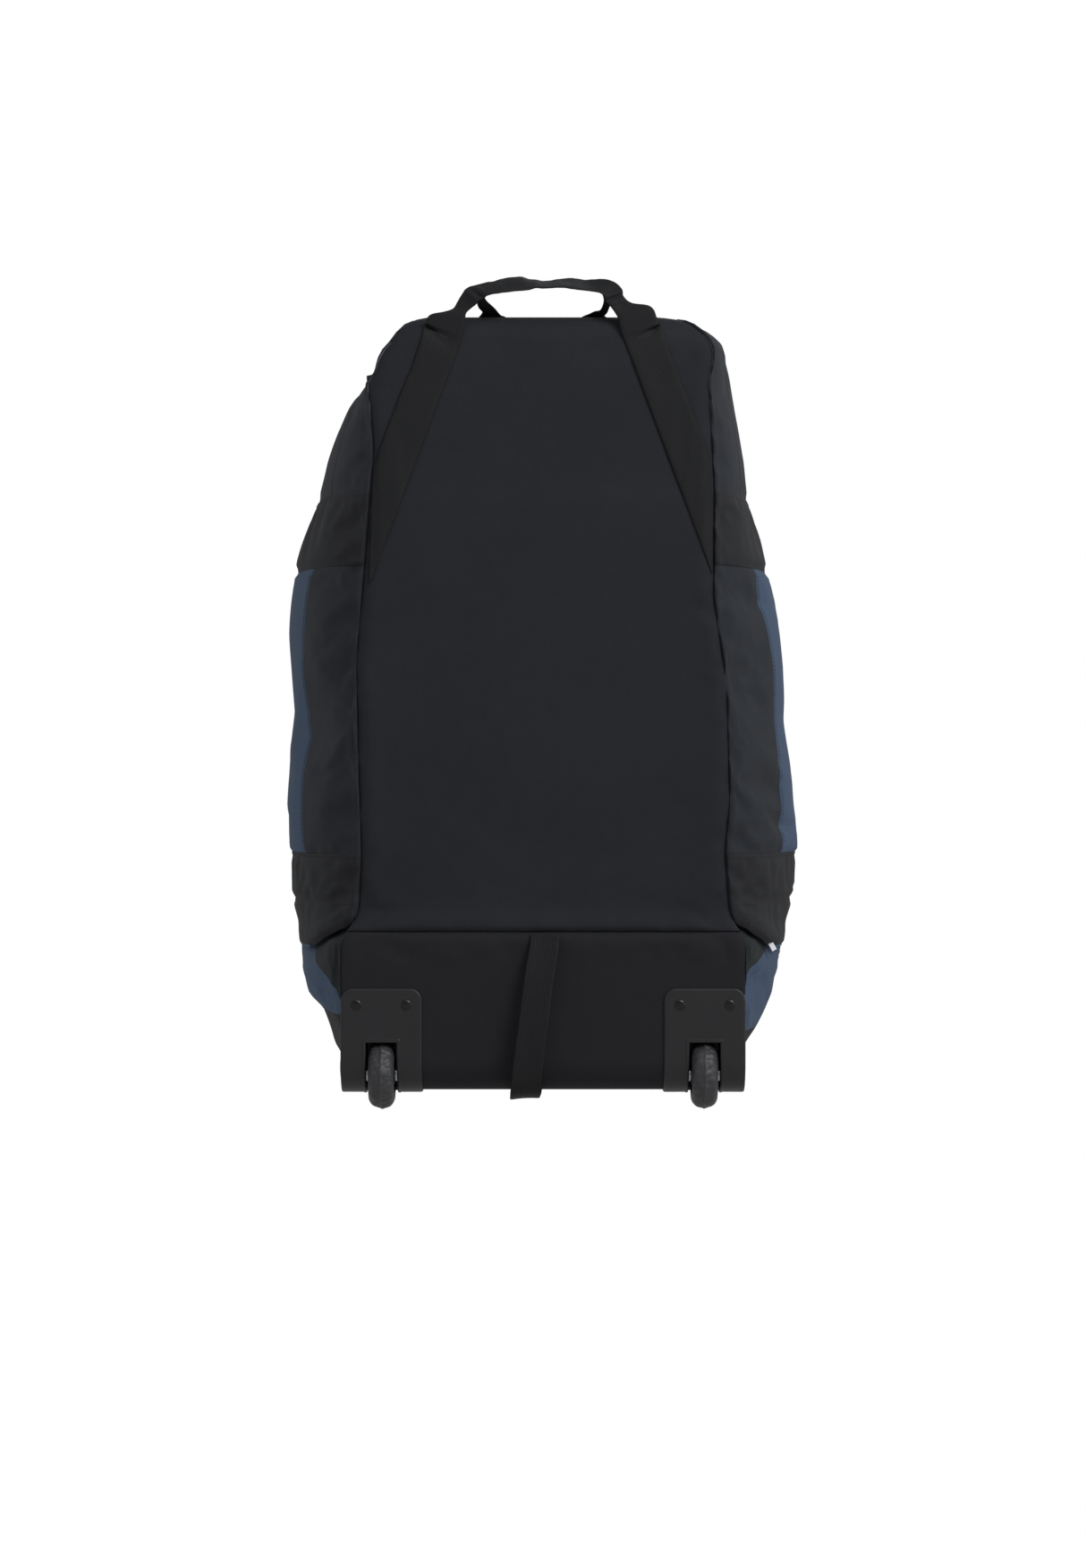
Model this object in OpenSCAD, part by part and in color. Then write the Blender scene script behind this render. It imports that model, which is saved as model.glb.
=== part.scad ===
// Rolling duffel bag, standing upright on its wheel end.
// Z runs along the bag, -Y is the base side with the wheels, +Y is the front with the lid.

/* [Body] */
// Height of the end panel above the floor
body_low = 18; // [14:1:22]
// Height of the top end panel
body_high = 785; // [780:1:790]
// Depth from the wheel box face to the front panel
front_depth = 300; // [296:1:304]
// How far the base panel sits behind the wheel box face
base_step = 10; // [6:1:12]
// Top of the stiffened wheel box
box_high = 176; // [172:1:180]
// Thickness of sewn fabric with its lining
fabric = 2; // [1.5:0.1:2.2]
// Thickness of the stiffened wheel box cover
box_cover = 3; // [2.5:0.1:3]

/* [Lid] */
// Half width between the zip's long side and the hinge
lid_half = 145; // [140:1:146]
// Lower edge of the lid's zip line
lid_low = 122; // [118:1:124]
// Upper edge of the lid's zip line
lid_high = 618; // [612:1:622]
// Corner radius of the zip line
lid_corner = 45; // [38:1:50]
// Width of one half of the zip chain
chain_half = 3; // [2.6:0.1:3]

/* [Wheels] */
// Radius of the tyre
wheel_r = 34; // [33:0.5:34]
// Width of the tyre
wheel_w = 25.5; // [24:0.5:26]
// Distance of each wheel from the middle
wheel_x = 159; // [155:1:159]
// Distance of the axle behind the wheel box face
axle_y = 16; // [15:0.5:17]
// Radius of the steel axle
axle_r = 3; // [2.5:0.1:3.2]
// Width of the slot that a wheel turns in
slot_w = 31; // [30.5:0.5:32]

/* [Housings] */
// Width of a wheel housing
housing_w = 80; // [78:1:80]
// Top of the housing's base flange
housing_high = 120; // [116:1:122]
// Depth of the housing's end flange
housing_deep = 110; // [106:1:112]
// Thickness of the housing's flanges
flange = 2.2; // [1.8:0.1:2.3]
// Distance between a housing's two rivets
rivet_pitch = 49; // [46:1:52]

/* [Webbing] */
// Width of the handle webbing
web_w = 38; // [36:1:40]
// Width of the loop at the wheel end
loop_w = 29; // [26:1:30]
// Thickness of webbing
web_t = 1.8; // [1.5:0.1:2]

/* [Hidden] */
$fn = 48;

gap = 0.4;             // clearance between separate sewn pieces
end_round = 26;        // radius where the sides turn into the top end
box_round = 30;        // radius where the base and front turn into the wheel end
box_tuck = 5;          // how far the sides pull in there
centre_y = 141.1;      // middle of the whole object's depth, which becomes y = 0
strip_q = 0.285;       // where the dark strip meets the blue side panel
seam_gap = 0.012;      // share of the side left open beside the base seam
flat_half = 165;       // half width of the flat part of the front
frame_low = 94;        // lower and upper edge of the flat frame around the lid
frame_high = 638;
chain_end = 160;       // how far the zip runs past the hinge
pull_x = -161;         // where the pull tab turns in the slider
pull_y = front_depth + 4.3;
axle_z = wheel_r;
slot_half = slot_w / 2;
cheek_t = 2.5;
hub_r = wheel_r - 13;
crown_r = 13.5;
well_r = wheel_r + 5.5;
slot_high = axle_z + wheel_r - 1;
well_cut = 19;
board_t = 3;
rivet_z = 104;
rivet_y = 96;
rivet_r = 2;
rivet_head = 5.4;
foot_x = 130;
foot_y = 236;
foot_r = 14;
hinge_x = -lid_half;

// Bands around the sides: [lower edge, upper edge]
bands = [[201, 252], [537, 610]];
band_t = 1.2;

// Half widths by height: [height, half width]
seam_l = [[0, 199], [170, 199], [192, 182], [252, 179], [346, 182], [444, 184], [537, 176], [650, 167],
          [724, 174], [790, 152]];
seam_r = [[0, 199], [170, 199], [192, 184], [255, 179], [303, 184], [419, 181], [506, 168], [610, 169],
          [720, 164], [754, 169], [790, 156]];
bulge_l = [[0, 202], [50, 205], [77, 219], [100, 236], [122, 246], [167, 251], [211, 258], [290, 263],
           [366, 260], [477, 260], [544, 253], [588, 241], [654, 220], [699, 202], [739, 185], [762, 169],
           [790, 166]];
bulge_r = [[0, 202], [56, 208], [77, 220], [122, 237], [167, 246], [211, 258], [262, 263], [322, 258],
           [411, 250], [477, 243], [544, 229], [610, 212], [677, 201], [743, 189], [765, 184], [790, 186]];
front_y = [[0, 288], [60, 298], [92, 300], [640, 300], [670, 298], [730, 276], [790, 240]];
flat_x = [[0, 130], [92, 165], [640, 165], [700, 140], [790, 105]];
base_y = [[0, 0], [168, 0], [196, 1], [790, 1]];

// Table lookup with rounded corners
function eased(z, table) = (lookup(z - 9, table) + 2 * lookup(z, table) + lookup(z + 9, table)) / 4;
function front_at(z) = lookup(z, front_y) * front_depth / 300;
function seam_at(side, z) = eased(z, side < 0 ? seam_l : seam_r);
function bulge_at(side, z) = eased(z, side < 0 ? bulge_l : bulge_r);
function base_at(z) = base_step * eased(z, base_y);

// A row at developed height v, t below the outer surface: [height, inset of the base and front,
// inset of the sides, inset of the front's flat]
function row(v, t) =
    v > body_high - end_round
        ? let (a = 90 * (v - body_high + end_round) / end_round, i = end_round - (end_round - t) * cos(a))
          [body_high - end_round + (end_round - t) * sin(a), i, i, end_round * (1 - cos(a)) * 0.6]
    : v < body_low + box_round
        ? let (a = 90 * (body_low + box_round - v) / box_round, i = box_round - (box_round - t) * cos(a))
          [body_low + box_round - (box_round - t) * sin(a), i, t + box_tuck * (1 - cos(a)), 0]
    : [v, t, t, 0];

// Point of the side wall: q runs from the base seam (0) past the widest line (0.5) to the front (1)
function side_point(side, q, r) =
    let (z = r[0], s = seam_at(side, z) - r[2], b = bulge_at(side, z) - r[2], f = lookup(z, flat_x) - r[3])
    let (y0 = base_at(z) + r[1], y1 = front_at(z) - r[1], ym = (base_at(z) + front_at(z)) * 0.48)
    let (a = q < 0.5 ? 90 * (1 - 2 * q) : 90 * (2 * q - 1))
    q < 0.5
        ? [side * (s + (b - s) * pow(cos(a), 1.25)), ym - (ym - y0) * pow(sin(a), 1.25), z]
        : [side * (f + (b - f) * pow(cos(a), 0.87)), ym + (y1 - ym) * pow(sin(a), 0.87), z];
// Point of the base (p from -1 to 1 across) and of the front
function base_point(p, r, margin) =
    [p * (seam_at(p, r[0]) - r[2] - margin), base_at(r[0]) + r[1], r[0]];
function front_point(p, r) =
    [p * (lookup(r[0], flat_x) - r[3] - gap), front_at(r[0]) - r[1], r[0]];

function span(a, b, n) = [for (k = [0:n]) a + (b - a) * k / n];
function side_grid(side, q0, q1, nq, v0, v1, nv, t) =
    [for (v = span(v0, v1, nv)) [for (q = span(q0, q1, nq)) side_point(side, q, row(v, t))]];
function front_grid(v0, v1, nv, t) =
    [for (v = span(v0, v1, nv)) [for (p = span(-1, 1, 2)) front_point(p, row(v, t))]];
function base_grid(v0, v1, nv, t) =
    [for (v = span(v0, v1, nv)) [for (p = [-1, -0.001, 1]) base_point(p, row(v, t), 2.2)]];

// Closed sheet between two grids of points
module sheet(outer, inner) {
    rows = len(outer);
    cols = len(outer[0]);
    n = rows * cols;
    function at(i, j) = i * cols + j;
    faces = concat(
        [for (i = [0:rows - 2], j = [0:cols - 2]) each
            [[at(i, j), at(i + 1, j), at(i + 1, j + 1)], [at(i, j), at(i + 1, j + 1), at(i, j + 1)]]],
        [for (i = [0:rows - 2], j = [0:cols - 2]) each
            [[n + at(i, j), n + at(i + 1, j + 1), n + at(i + 1, j)],
             [n + at(i, j), n + at(i, j + 1), n + at(i + 1, j + 1)]]],
        [for (i = [0:rows - 2]) each
            [[at(i, 0), n + at(i, 0), n + at(i + 1, 0)], [at(i, 0), n + at(i + 1, 0), at(i + 1, 0)]]],
        [for (i = [0:rows - 2]) let (j = cols - 1) each
            [[at(i, j), at(i + 1, j), n + at(i + 1, j)], [at(i, j), n + at(i + 1, j), n + at(i, j)]]],
        [for (j = [0:cols - 2]) each
            [[at(0, j), at(0, j + 1), n + at(0, j + 1)], [at(0, j), n + at(0, j + 1), n + at(0, j)]]],
        [for (j = [0:cols - 2]) let (i = rows - 1) each
            [[at(i, j), n + at(i, j), n + at(i, j + 1)], [at(i, j), n + at(i, j + 1), at(i, j + 1)]]]
    );
    points = [for (g = [outer, inner], line = g, p = line) p];
    polyhedron(points = points, faces = faces, convexity = 8);
}

module side_sheet(side, q0, q1, nq, v0, v1, nv, t0, t1) {
    outer = side_grid(side, q0, q1, nq, v0, v1, nv, t0);
    inner = side_grid(side, q0, q1, nq, v0, v1, nv, t1);
    if (side < 0) sheet(inner, outer);
    else sheet(outer, inner);
}

// Flat strip of webbing along a path, w wide in the direction that widths gives
module ribbon(path, widths, w, t) {
    n = len(path);
    function unit(v) = v / norm(v);
    tangents = [for (i = [0:n - 1]) unit(path[min(i + 1, n - 1)] - path[max(i - 1, 0)])];
    across = [for (i = [0:n - 1]) unit(widths[i] - (widths[i] * tangents[i]) * tangents[i])];
    upward = [for (i = [0:n - 1]) cross(tangents[i], across[i])];
    low = [for (i = [0:n - 1]) [for (k = [-1, 1]) path[i] + across[i] * k * w / 2 - upward[i] * t / 2]];
    high = [for (i = [0:n - 1]) [for (k = [-1, 1]) path[i] + across[i] * k * w / 2 + upward[i] * t / 2]];
    sheet(low, high);
}

// Smooth curve through the given points, m steps between neighbours
function curve(p, m) =
    let (n = len(p))
    concat(
        [for (i = [0:n - 2], k = [0:m - 1])
            let (a = p[max(i - 1, 0)], b = p[i], c = p[i + 1], d = p[min(i + 2, n - 1)], t = k / m)
            0.5 * (2 * b + (c - a) * t + (2 * a - 5 * b + 4 * c - d) * t * t
                   + (3 * b - a - 3 * c + d) * t * t * t)],
        [p[n - 1]]);

// Rounded rectangle as exact arcs, from low to high corner
module rounded(x0, x1, y0, y1, r) {
    union() {
        translate([x0 + r, y0]) square([x1 - x0 - 2 * r, y1 - y0]);
        translate([x0, y0 + r]) square([x1 - x0, y1 - y0 - 2 * r]);
        for (x = [x0 + r, x1 - r], y = [y0 + r, y1 - r]) translate([x, y]) circle(r);
    }
}

// Puts a drawing in the x-z plane at depth y, growing t towards the base
module upright(y, t) {
    translate([0, y, 0]) rotate([90, 0, 0]) linear_extrude(t) children();
}

// Area inside the zip line, grown by k
module lid_area(k) {
    rounded(-lid_half - k, lid_half + k, lid_low - k, lid_high + k, lid_corner + k);
}

// Outline of a cross section at row r
function outline(r) = concat(
    [for (q = span(0, 1, 14)) let (p = side_point(1, q, r)) [p[0], p[1]]],
    [for (q = span(1, 0, 14)) let (p = side_point(-1, q, r)) [p[0], p[1]]]);

// Room for the two wheel wells
module well_room() {
    for (side = [-1, 1])
        translate([side * wheel_x - well_cut, -8, -1]) cube([2 * well_cut, 66, slot_high + 9]);
}

module rivet_holes() {
    for (side = [-1, 1], k = [-1, 1]) translate([side * wheel_x + k * rivet_pitch / 2, 0, 0]) {
        translate([0, 20, rivet_z]) rotate([90, 0, 0]) cylinder(r = rivet_r + 0.05, h = 30);
        translate([0, rivet_y, 5]) cylinder(r = rivet_r + 0.05, h = 30);
    }
}

// ---- Sewn shell ----

module base_panel() {
    v0 = box_high + gap;
    v1 = body_high - 1;
    color("#25262a") sheet(base_grid(v0, v1, 30, 0), base_grid(v0, v1, 30, fabric));
}

module wheel_box_cover() {
    v1 = box_high - gap;
    color("#232327") difference() {
        sheet(base_grid(body_low + 1, v1, 16, 0), base_grid(body_low + 1, v1, 16, box_cover));
        well_room();
        rivet_holes();
    }
}

module end_panel_top() {
    edge = end_round + 1.5;
    color("#2a2d33") translate([0, 0, body_high - fabric])
        linear_extrude(fabric) polygon(outline([body_high, edge, edge, edge * 0.6]));
}

module end_panel_bottom() {
    color("#232327") difference() {
        translate([0, 0, body_low]) linear_extrude(fabric)
            polygon(outline([body_low, box_round + 1.5, box_tuck + 3, 0]));
        well_room();
        rivet_holes();
        foot_holes();
    }
}

module side_strip(side) {
    color("#2b2e35")
        side_sheet(side, seam_gap, strip_q - 0.002, 5, box_high + gap, body_high - 1, 30, 0, fabric);
}

module corner_gusset(side) {
    color("#22262b")
        side_sheet(side, seam_gap, strip_q - 0.002, 5, body_low + 1, box_high - gap, 12, 0, fabric);
}

module side_panel(side) {
    color("#3c4b61")
        side_sheet(side, strip_q + 0.002, 1, 10, body_low + 1, body_high - 1, 36, 0, fabric);
}

// Left of the hinge, grown by k
module left_of_hinge(k) {
    translate([-flat_half - 20, 0]) square([flat_half + 20 + hinge_x + k, 700]);
}

module front_frame() {
    color("#3c4b61") upright(front_depth, fabric) difference() {
        translate([-flat_half + gap, frame_low]) square([2 * (flat_half - gap), frame_high - frame_low]);
        lid_area(12);
        translate([-flat_half - 20, lid_low - 12]) square([60, lid_high - lid_low + 24]);
    }
}

module hinge_strip() {
    edge = chain_half + 1;
    color("#3c4b61") upright(front_depth, fabric)
        translate([-flat_half + gap, lid_low + edge])
            square([flat_half + hinge_x - 2 * gap, lid_high - lid_low - 2 * edge]);
}

module front_top_panel() {
    v0 = frame_high + gap;
    v1 = body_high - 1;
    color("#3c4b61") sheet(front_grid(v0, v1, 10, fabric), front_grid(v0, v1, 10, 0));
}

module front_bottom_panel() {
    v0 = body_low + 1;
    v1 = frame_low - gap;
    color("#3c4b61") sheet(front_grid(v0, v1, 8, fabric), front_grid(v0, v1, 8, 0));
}

module side_bands(side) {
    color("#26282b") for (b = bands)
        side_sheet(side, 0.02, 0.99, 18, b[0], b[1], 4, -band_t - 0.6, -0.6);
}

module seam_tape(side) {
    heights = span(box_high + 20, body_high - 60, 20);
    path = [for (v = heights) side_point(side, 0, row(v, 0)) + [-side * 1.5, 7.5, 0]];
    color("#1c1d20") ribbon(path, [for (p = path) [side, 1.2, 0]], 9, 1);
}

// ---- Stiffeners ----

module base_board() {
    color("#b9bcc0") upright(base_step + fabric + 2 + board_t, board_t) rounded(-155, 155, 190, 735, 20);
}

module end_board() {
    color("#b9bcc0") difference() {
        translate([0, 0, body_low + fabric + 1.2]) linear_extrude(board_t) rounded(-165, 165, 62, 250, 20);
        foot_holes();
        rivet_holes();
    }
}

module rivet_bar() {
    color("#8d9096") difference() {
        upright(box_cover + 0.4 + 2, 2) rounded(-190, 190, rivet_z - 10, rivet_z + 10, 6);
        rivet_holes();
    }
}

// ---- Wheels and housings ----

// L shape of the housing in depth and height, t thick, gap outside the cover
module housing_profile(clear, t) {
    r0 = box_round + clear;
    union() {
        translate([-clear - t, body_low + box_round]) square([t, housing_high - body_low - box_round]);
        translate([box_round, body_low - clear - t]) square([housing_deep - box_round, t]);
        intersection() {
            translate([box_round, body_low + box_round]) difference() {
                circle(r0 + t);
                circle(r0);
            }
            translate([-20, -20]) square([20 + box_round, 20 + body_low + box_round]);
        }
    }
}

module housing_inside() {
    r0 = box_round + 0.2;
    union() {
        translate([-0.2, body_low + box_round]) square([80, 60]);
        translate([box_round, body_low - 0.2]) square([60, 60]);
        translate([box_round, body_low + box_round]) circle(r0);
    }
}

module along_x(x0, w) {
    translate([x0, 0, 0]) rotate([90, 0, 90]) linear_extrude(w) children();
}

module wheel_housing(side) {
    cx = side * wheel_x;
    color("#2c2c2f") difference() {
        union() {
            intersection() {
                along_x(cx - housing_w / 2, housing_w) housing_profile(0.2, flange);
                union() {
                    upright(20, 40) rounded(cx - housing_w / 2, cx + housing_w / 2, -40, housing_high, 12);
                    translate([0, 0, -1]) linear_extrude(22)
                        rounded(cx - housing_w / 2, cx + housing_w / 2, 2, housing_deep, 12);
                }
            }
            intersection() {
                along_x(cx - slot_half - cheek_t, slot_w + 2 * cheek_t) housing_inside();
                on_axle(side) translate([0, 0, -slot_half - cheek_t])
                    cylinder(r = well_r, h = slot_w + 2 * cheek_t);
            }
        }
        on_axle(side) translate([0, 0, -slot_half]) cylinder(r = well_r - cheek_t, h = slot_w);
        translate([cx - slot_half, -10, 5]) cube([slot_w, 10, slot_high - 5]);
        translate([cx - slot_half, -10, 5]) cube([slot_w, 10 + axle_y + wheel_r + 2, body_low - 4]);
        on_axle(side) translate([0, 0, -30]) cylinder(r = axle_r + 0.02, h = 60);
        rivet_holes();
    }
}

module housing_rivets() {
    washer = box_cover + 0.4 + 2 + 0.1;
    color("#1f1f21") for (side = [-1, 1], k = [-1, 1]) {
        translate([side * wheel_x + k * rivet_pitch / 2, -0.2 - flange, rivet_z]) rotate([90, 0, 0]) {
            cylinder(r1 = rivet_head, r2 = rivet_head - 1.2, h = 1.5);
            translate([0, 0, -washer - 0.2 - flange]) cylinder(r = rivet_r, h = washer + 0.2 + flange);
            translate([0, 0, -washer - 1.4 - flange]) cylinder(r = 4, h = 1.2);
        }
        translate([side * wheel_x + k * rivet_pitch / 2, rivet_y, body_low - 0.2 - flange]) {
            translate([0, 0, -1.5]) cylinder(r1 = rivet_head - 1.2, r2 = rivet_head, h = 1.5);
            cylinder(r = rivet_r, h = 9);
            translate([0, 0, 9]) cylinder(r = 4, h = 1.2);
        }
    }
}

module on_axle(side) {
    translate([side * wheel_x, axle_y, axle_z]) rotate([0, 90, 0]) children();
}

module axle(side) {
    grip = slot_half + cheek_t;
    color("#c8cacd") on_axle(side) {
        translate([0, 0, -grip - 0.1]) cylinder(r = axle_r, h = 2 * grip + 6);
        translate([0, 0, -grip - 2.6]) cylinder(r = 5.5, h = 2.5);
    }
}

module axle_nuts() {
    color("#c8cacd") for (side = [-1, 1]) on_axle(side)
        translate([0, 0, slot_half + cheek_t + 0.1]) difference() {
            cylinder(r = 5.6, h = 4.5, $fn = 6);
            translate([0, 0, -1]) cylinder(r = axle_r + 0.02, h = 8);
        }
}

module axle_spacers() {
    color("#d6d8da") for (side = [-1, 1], k = [-1, 1]) on_axle(side)
        translate([0, 0, k * (slot_half - 1.2) - 1]) difference() {
            cylinder(r = 6.2, h = 2);
            translate([0, 0, -1]) cylinder(r = axle_r + 0.02, h = 5);
        }
}

module wheel_hub(side) {
    color("#3a3a3d") on_axle(side) difference() {
        rotate_extrude() union() {
            translate([4.52, -12.9]) square([5, 25.8]);
            translate([4.52, -3]) square([hub_r - 5, 6]);
            translate([hub_r - 3, -11]) square([3, 22]);
        }
        for (k = [0:4]) rotate(72 * k) translate([13.4, 0, -10]) cylinder(r = 2.8, h = 20);
    }
}

module wheel_bush(side) {
    color("#a9acb0") on_axle(side) difference() {
        translate([0, 0, -12.9]) cylinder(r = 4.5, h = 25.8);
        translate([0, 0, -14]) cylinder(r = axle_r + 0.05, h = 28);
    }
}

module wheel_tyre(side) {
    half = wheel_w / 2;
    color("#38393c") on_axle(side) rotate_extrude() intersection() {
        translate([hub_r + 0.02, -half]) square([wheel_r, wheel_w]);
        union() {
            translate([wheel_r - crown_r, 0]) circle(crown_r, $fn = 96);
            translate([hub_r - 2, -half]) square([6, wheel_w]);
        }
    }
}

module foot_holes() {
    for (side = [-1, 1]) translate([side * foot_x, foot_y, 5]) cylinder(r = 2.1, h = 25);
}

module stand_feet() {
    color("#232325") for (side = [-1, 1]) translate([side * foot_x, foot_y, 0]) difference() {
        rotate_extrude() polygon([[0, 0], [foot_r - 4, 0], [foot_r - 1, 3], [foot_r + 1, body_low - 3],
            [foot_r + 4, body_low - 2], [foot_r + 4, body_low - 0.2], [0, body_low - 0.2]]);
        translate([0, 0, 8]) cylinder(r = 2.1, h = 12);
    }
}

module foot_screws() {
    color("#b4b6b9") for (side = [-1, 1]) translate([side * foot_x, foot_y, 8.2]) {
        cylinder(r = 2, h = body_low + fabric + board_t + 1.4 - 8.2);
        translate([0, 0, body_low + fabric + board_t + 1.4 - 8.2]) cylinder(r = 4.5, h = 2);
    }
}

// ---- Lid and zip ----

module right_of_hinge(x) {
    translate([x, 0]) square([500, 800]);
}

module lid_panel() {
    color("#3c4b61") upright(front_depth, fabric) union() {
        intersection() {
            lid_area(-chain_half - 0.6);
            right_of_hinge(hinge_x);
        }
        translate([hinge_x, lid_low + chain_half + 0.6])
            square([60, lid_high - lid_low - 2 * chain_half - 1.2]);
    }
}

module lid_bands() {
    color("#26282b") upright(front_depth + 0.2 + band_t, band_t) intersection() {
        lid_area(-chain_half - 3);
        for (b = bands) translate([hinge_x + 14, b[0]]) square([2 * lid_half, b[1] - b[0]]);
    }
}

module zip_chain_lid() {
    color("#151617") upright(front_depth + 0.4, 2) intersection() {
        difference() {
            lid_area(-0.2);
            lid_area(-chain_half - 0.2);
        }
        right_of_hinge(hinge_x + lid_corner);
    }
}

module zip_chain_body() {
    color("#151617") upright(front_depth + 0.4, 2) union() {
        intersection() {
            difference() {
                lid_area(chain_half);
                lid_area(0.2);
            }
            right_of_hinge(hinge_x + lid_corner);
        }
        for (z = [lid_low - chain_half, lid_high + 0.2])
            translate([-chain_end, z]) square([chain_end + hinge_x + lid_corner + 0.01, chain_half - 0.2]);
    }
}

module zip_tape_body() {
    color("#1b1c1e") upright(front_depth - 0.2, 1) intersection() {
        difference() {
            lid_area(11.6);
            lid_area(chain_half + 0.4);
        }
        right_of_hinge(hinge_x + lid_corner);
    }
}

module zip_stops() {
    color("#8d9096") for (z = [lid_low, lid_high])
        translate([-164.4, front_depth - 1.8, z - 3]) cube([3.6, 2.1, 6]);
}

// Slider parked at the closed end, its bridge running along the zip
module zip_slider() {
    y0 = front_depth + 0.8;
    color("#6f7276") union() {
        hull() {
            translate([-168, y0, lid_low - 3.5]) cube([3, 2.4, 7]);
            translate([-162, y0, lid_low - 5]) cube([9, 2.4, 10]);
        }
        for (x = [-166, -158]) translate([x, y0 + 2.2, lid_low - 1.5]) cube([2, 3.8, 3]);
        translate([-166, y0 + 4.8, lid_low - 1.5]) cube([10, 1.2, 3]);
    }
}

// Tab whose end bar lies under the slider's bridge
module zip_pull() {
    bar = 0.8;
    color("#6f7276") upright(pull_y + 0.6, 1.2) difference() {
        rounded(pull_x - 32, pull_x + bar, lid_low - 4.2, lid_low + 4.2, 0.75);
        translate([pull_x - 6, lid_low - 2.2]) square([6 - bar, 4.4]);
        translate([pull_x - 27, lid_low]) circle(1.8);
    }
}

// ---- Webbing ----

strap_low = [[-178, 552], [178, 552]];
strap_high = [[-97, 768], [97, 768]];

module base_strap(side) {
    y = base_step - 0.4 - web_t / 2;
    low = strap_low[side < 0 ? 0 : 1];
    high = strap_high[side < 0 ? 0 : 1];
    run = high - low;
    color("#212123") intersection() {
        ribbon([[low[0], y, low[1]], [high[0], y, high[1]]], [for (k = [0, 1]) [run[1], 0, -run[0]]], web_w, web_t);
        translate([-165, -10, 400]) cube([330, 40, 400]);
    }
}

grip_path = [
    [-96.6, 8.4, 769], [-92, 7.2, 780], [-83, 10, 791], [-74, 15, 801], [-60, 18, 808.5],
    [-28, 20, 814.5], [0, 21, 813.5], [25, 20, 814.5],
    [58, 18, 813], [73, 15, 808], [79, 11, 797], [90.5, 7.2, 783], [96.6, 8.4, 769]
];
grip_across = [
    [0.936, 0, -0.351], [0.93, 0.1, -0.3], [0.6, 0.75, -0.05], [0.4, 0.88, 0.1], [0.1, 0.92, 0.3],
    [0, 0.92, 0.36], [0, 0.95, 0.3], [0, 0.95, 0.3],
    [-0.1, 0.93, 0.3], [-0.4, 0.86, 0.2], [-0.5, 0.85, 0], [-0.93, 0.1, -0.3], [-0.936, 0, -0.351]
];
leg_path = [[59, 40, 796], [57, 45, 793.3], [53, 54, 790.2], [50, 61, 789.2]];
loop_path = [
    [1, -7.5, 160], [-4, -15, 130], [-9, -20.5, 90], [-14, -21.8, 52],
    [-17, -17, 24], [-18, 2, 13.2], [-17, 28, 12.2], [-16, 50, 13.2]
];
loop_end_paths = [[[2, -1.4, 172], [1.6, -2.8, 168.5], [1.3, -4, 166]], [[-15.6, 58, 14], [-15, 74, 15.6]]];

module pull_handle() {
    color("#2b2c2f") ribbon(curve(grip_path, 4), curve(grip_across, 4), web_w, web_t);
}

module handle_leg(side) {
    path = curve([for (p = leg_path) [side * p[0], p[1], p[2]]], 4);
    color("#26272a") ribbon(path, [for (p = path) let (k = (61 - p[1]) / 24)
        [1, side * -0.2 * k, side * 0.3 * k]], 24, web_t);
}

module handle_feet() {
    color("#26272a") for (side = [-1, 1])
        translate([side * 50 - 15, 67, body_high + 0.3]) cube([30, 40, web_t]);
}

module end_loop() {
    path = curve(loop_path, 3);
    color("#1d1d1e") ribbon(path, [for (p = path) [1, -0.12, 0.05]], loop_w, web_t);
}

module end_loop_tabs() {
    color("#1d1d1e") {
        for (path = loop_end_paths) ribbon(path, [for (p = path) [1, -0.12, 0.05]], loop_w, web_t);
        translate([-15 - loop_w / 2, 75, body_low - 0.3 - web_t]) cube([loop_w, 34, web_t]);
    }
}

// Heights of the carry handles' sewn ends
carry_ends = [226, 573];

module carry_handle(side) {
    z0 = carry_ends[0];
    z1 = carry_ends[1];
    off = side < 0 ? -11.5 : -13;
    reach = [for (q = [0.885, 0.83, 0.78, 0.73, 0.69]) q];
    down = [for (k = [0:4]) side_point(side, reach[k], row(z0 + 2 * k * k, off + (k < 1 ? 2 : 0)))];
    run = [for (z = span(z0 + 70, z1 - 70, 4)) side_point(side, 0.655, row(z, off))];
    up = [for (k = [4:-1:0]) side_point(side, reach[k], row(z1 - 2 * k * k, off + (k < 1 ? 2 : 0)))];
    path = curve(concat(down, run, up), 2);
    n = len(path);
    across = [for (i = [0:n - 1]) let (h = sin(180 * i / (n - 1)))
              let (edge = min(i, n - 1 - i) / 9) let (s = min(1, edge))
              [side * 0.28 * s, -0.96 * s, (i < n / 2 ? -1 : 1) * (1 - s)]];
    color("#222325") ribbon(path, across, web_w * 0.7, web_t);
}

module carry_anchors() {
    off = -band_t - 1.2;
    color("#222325") for (side = [-1, 1], z = carry_ends)
        side_sheet(side, 0.90, 0.985, 4, z - web_w / 2, z + web_w / 2, 2, off - web_t, off);
}

module side_label() {
    p = side_point(1, 0.27, row(168, 0));
    color("#e6e6e8") translate([p[0] + 1.5, p[1] - 2, p[2] - 12]) rotate([0, 12, -30]) cube([10, 1, 14]);
}

module place() {
    translate([0, -centre_y, 0]) children();
}

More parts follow.
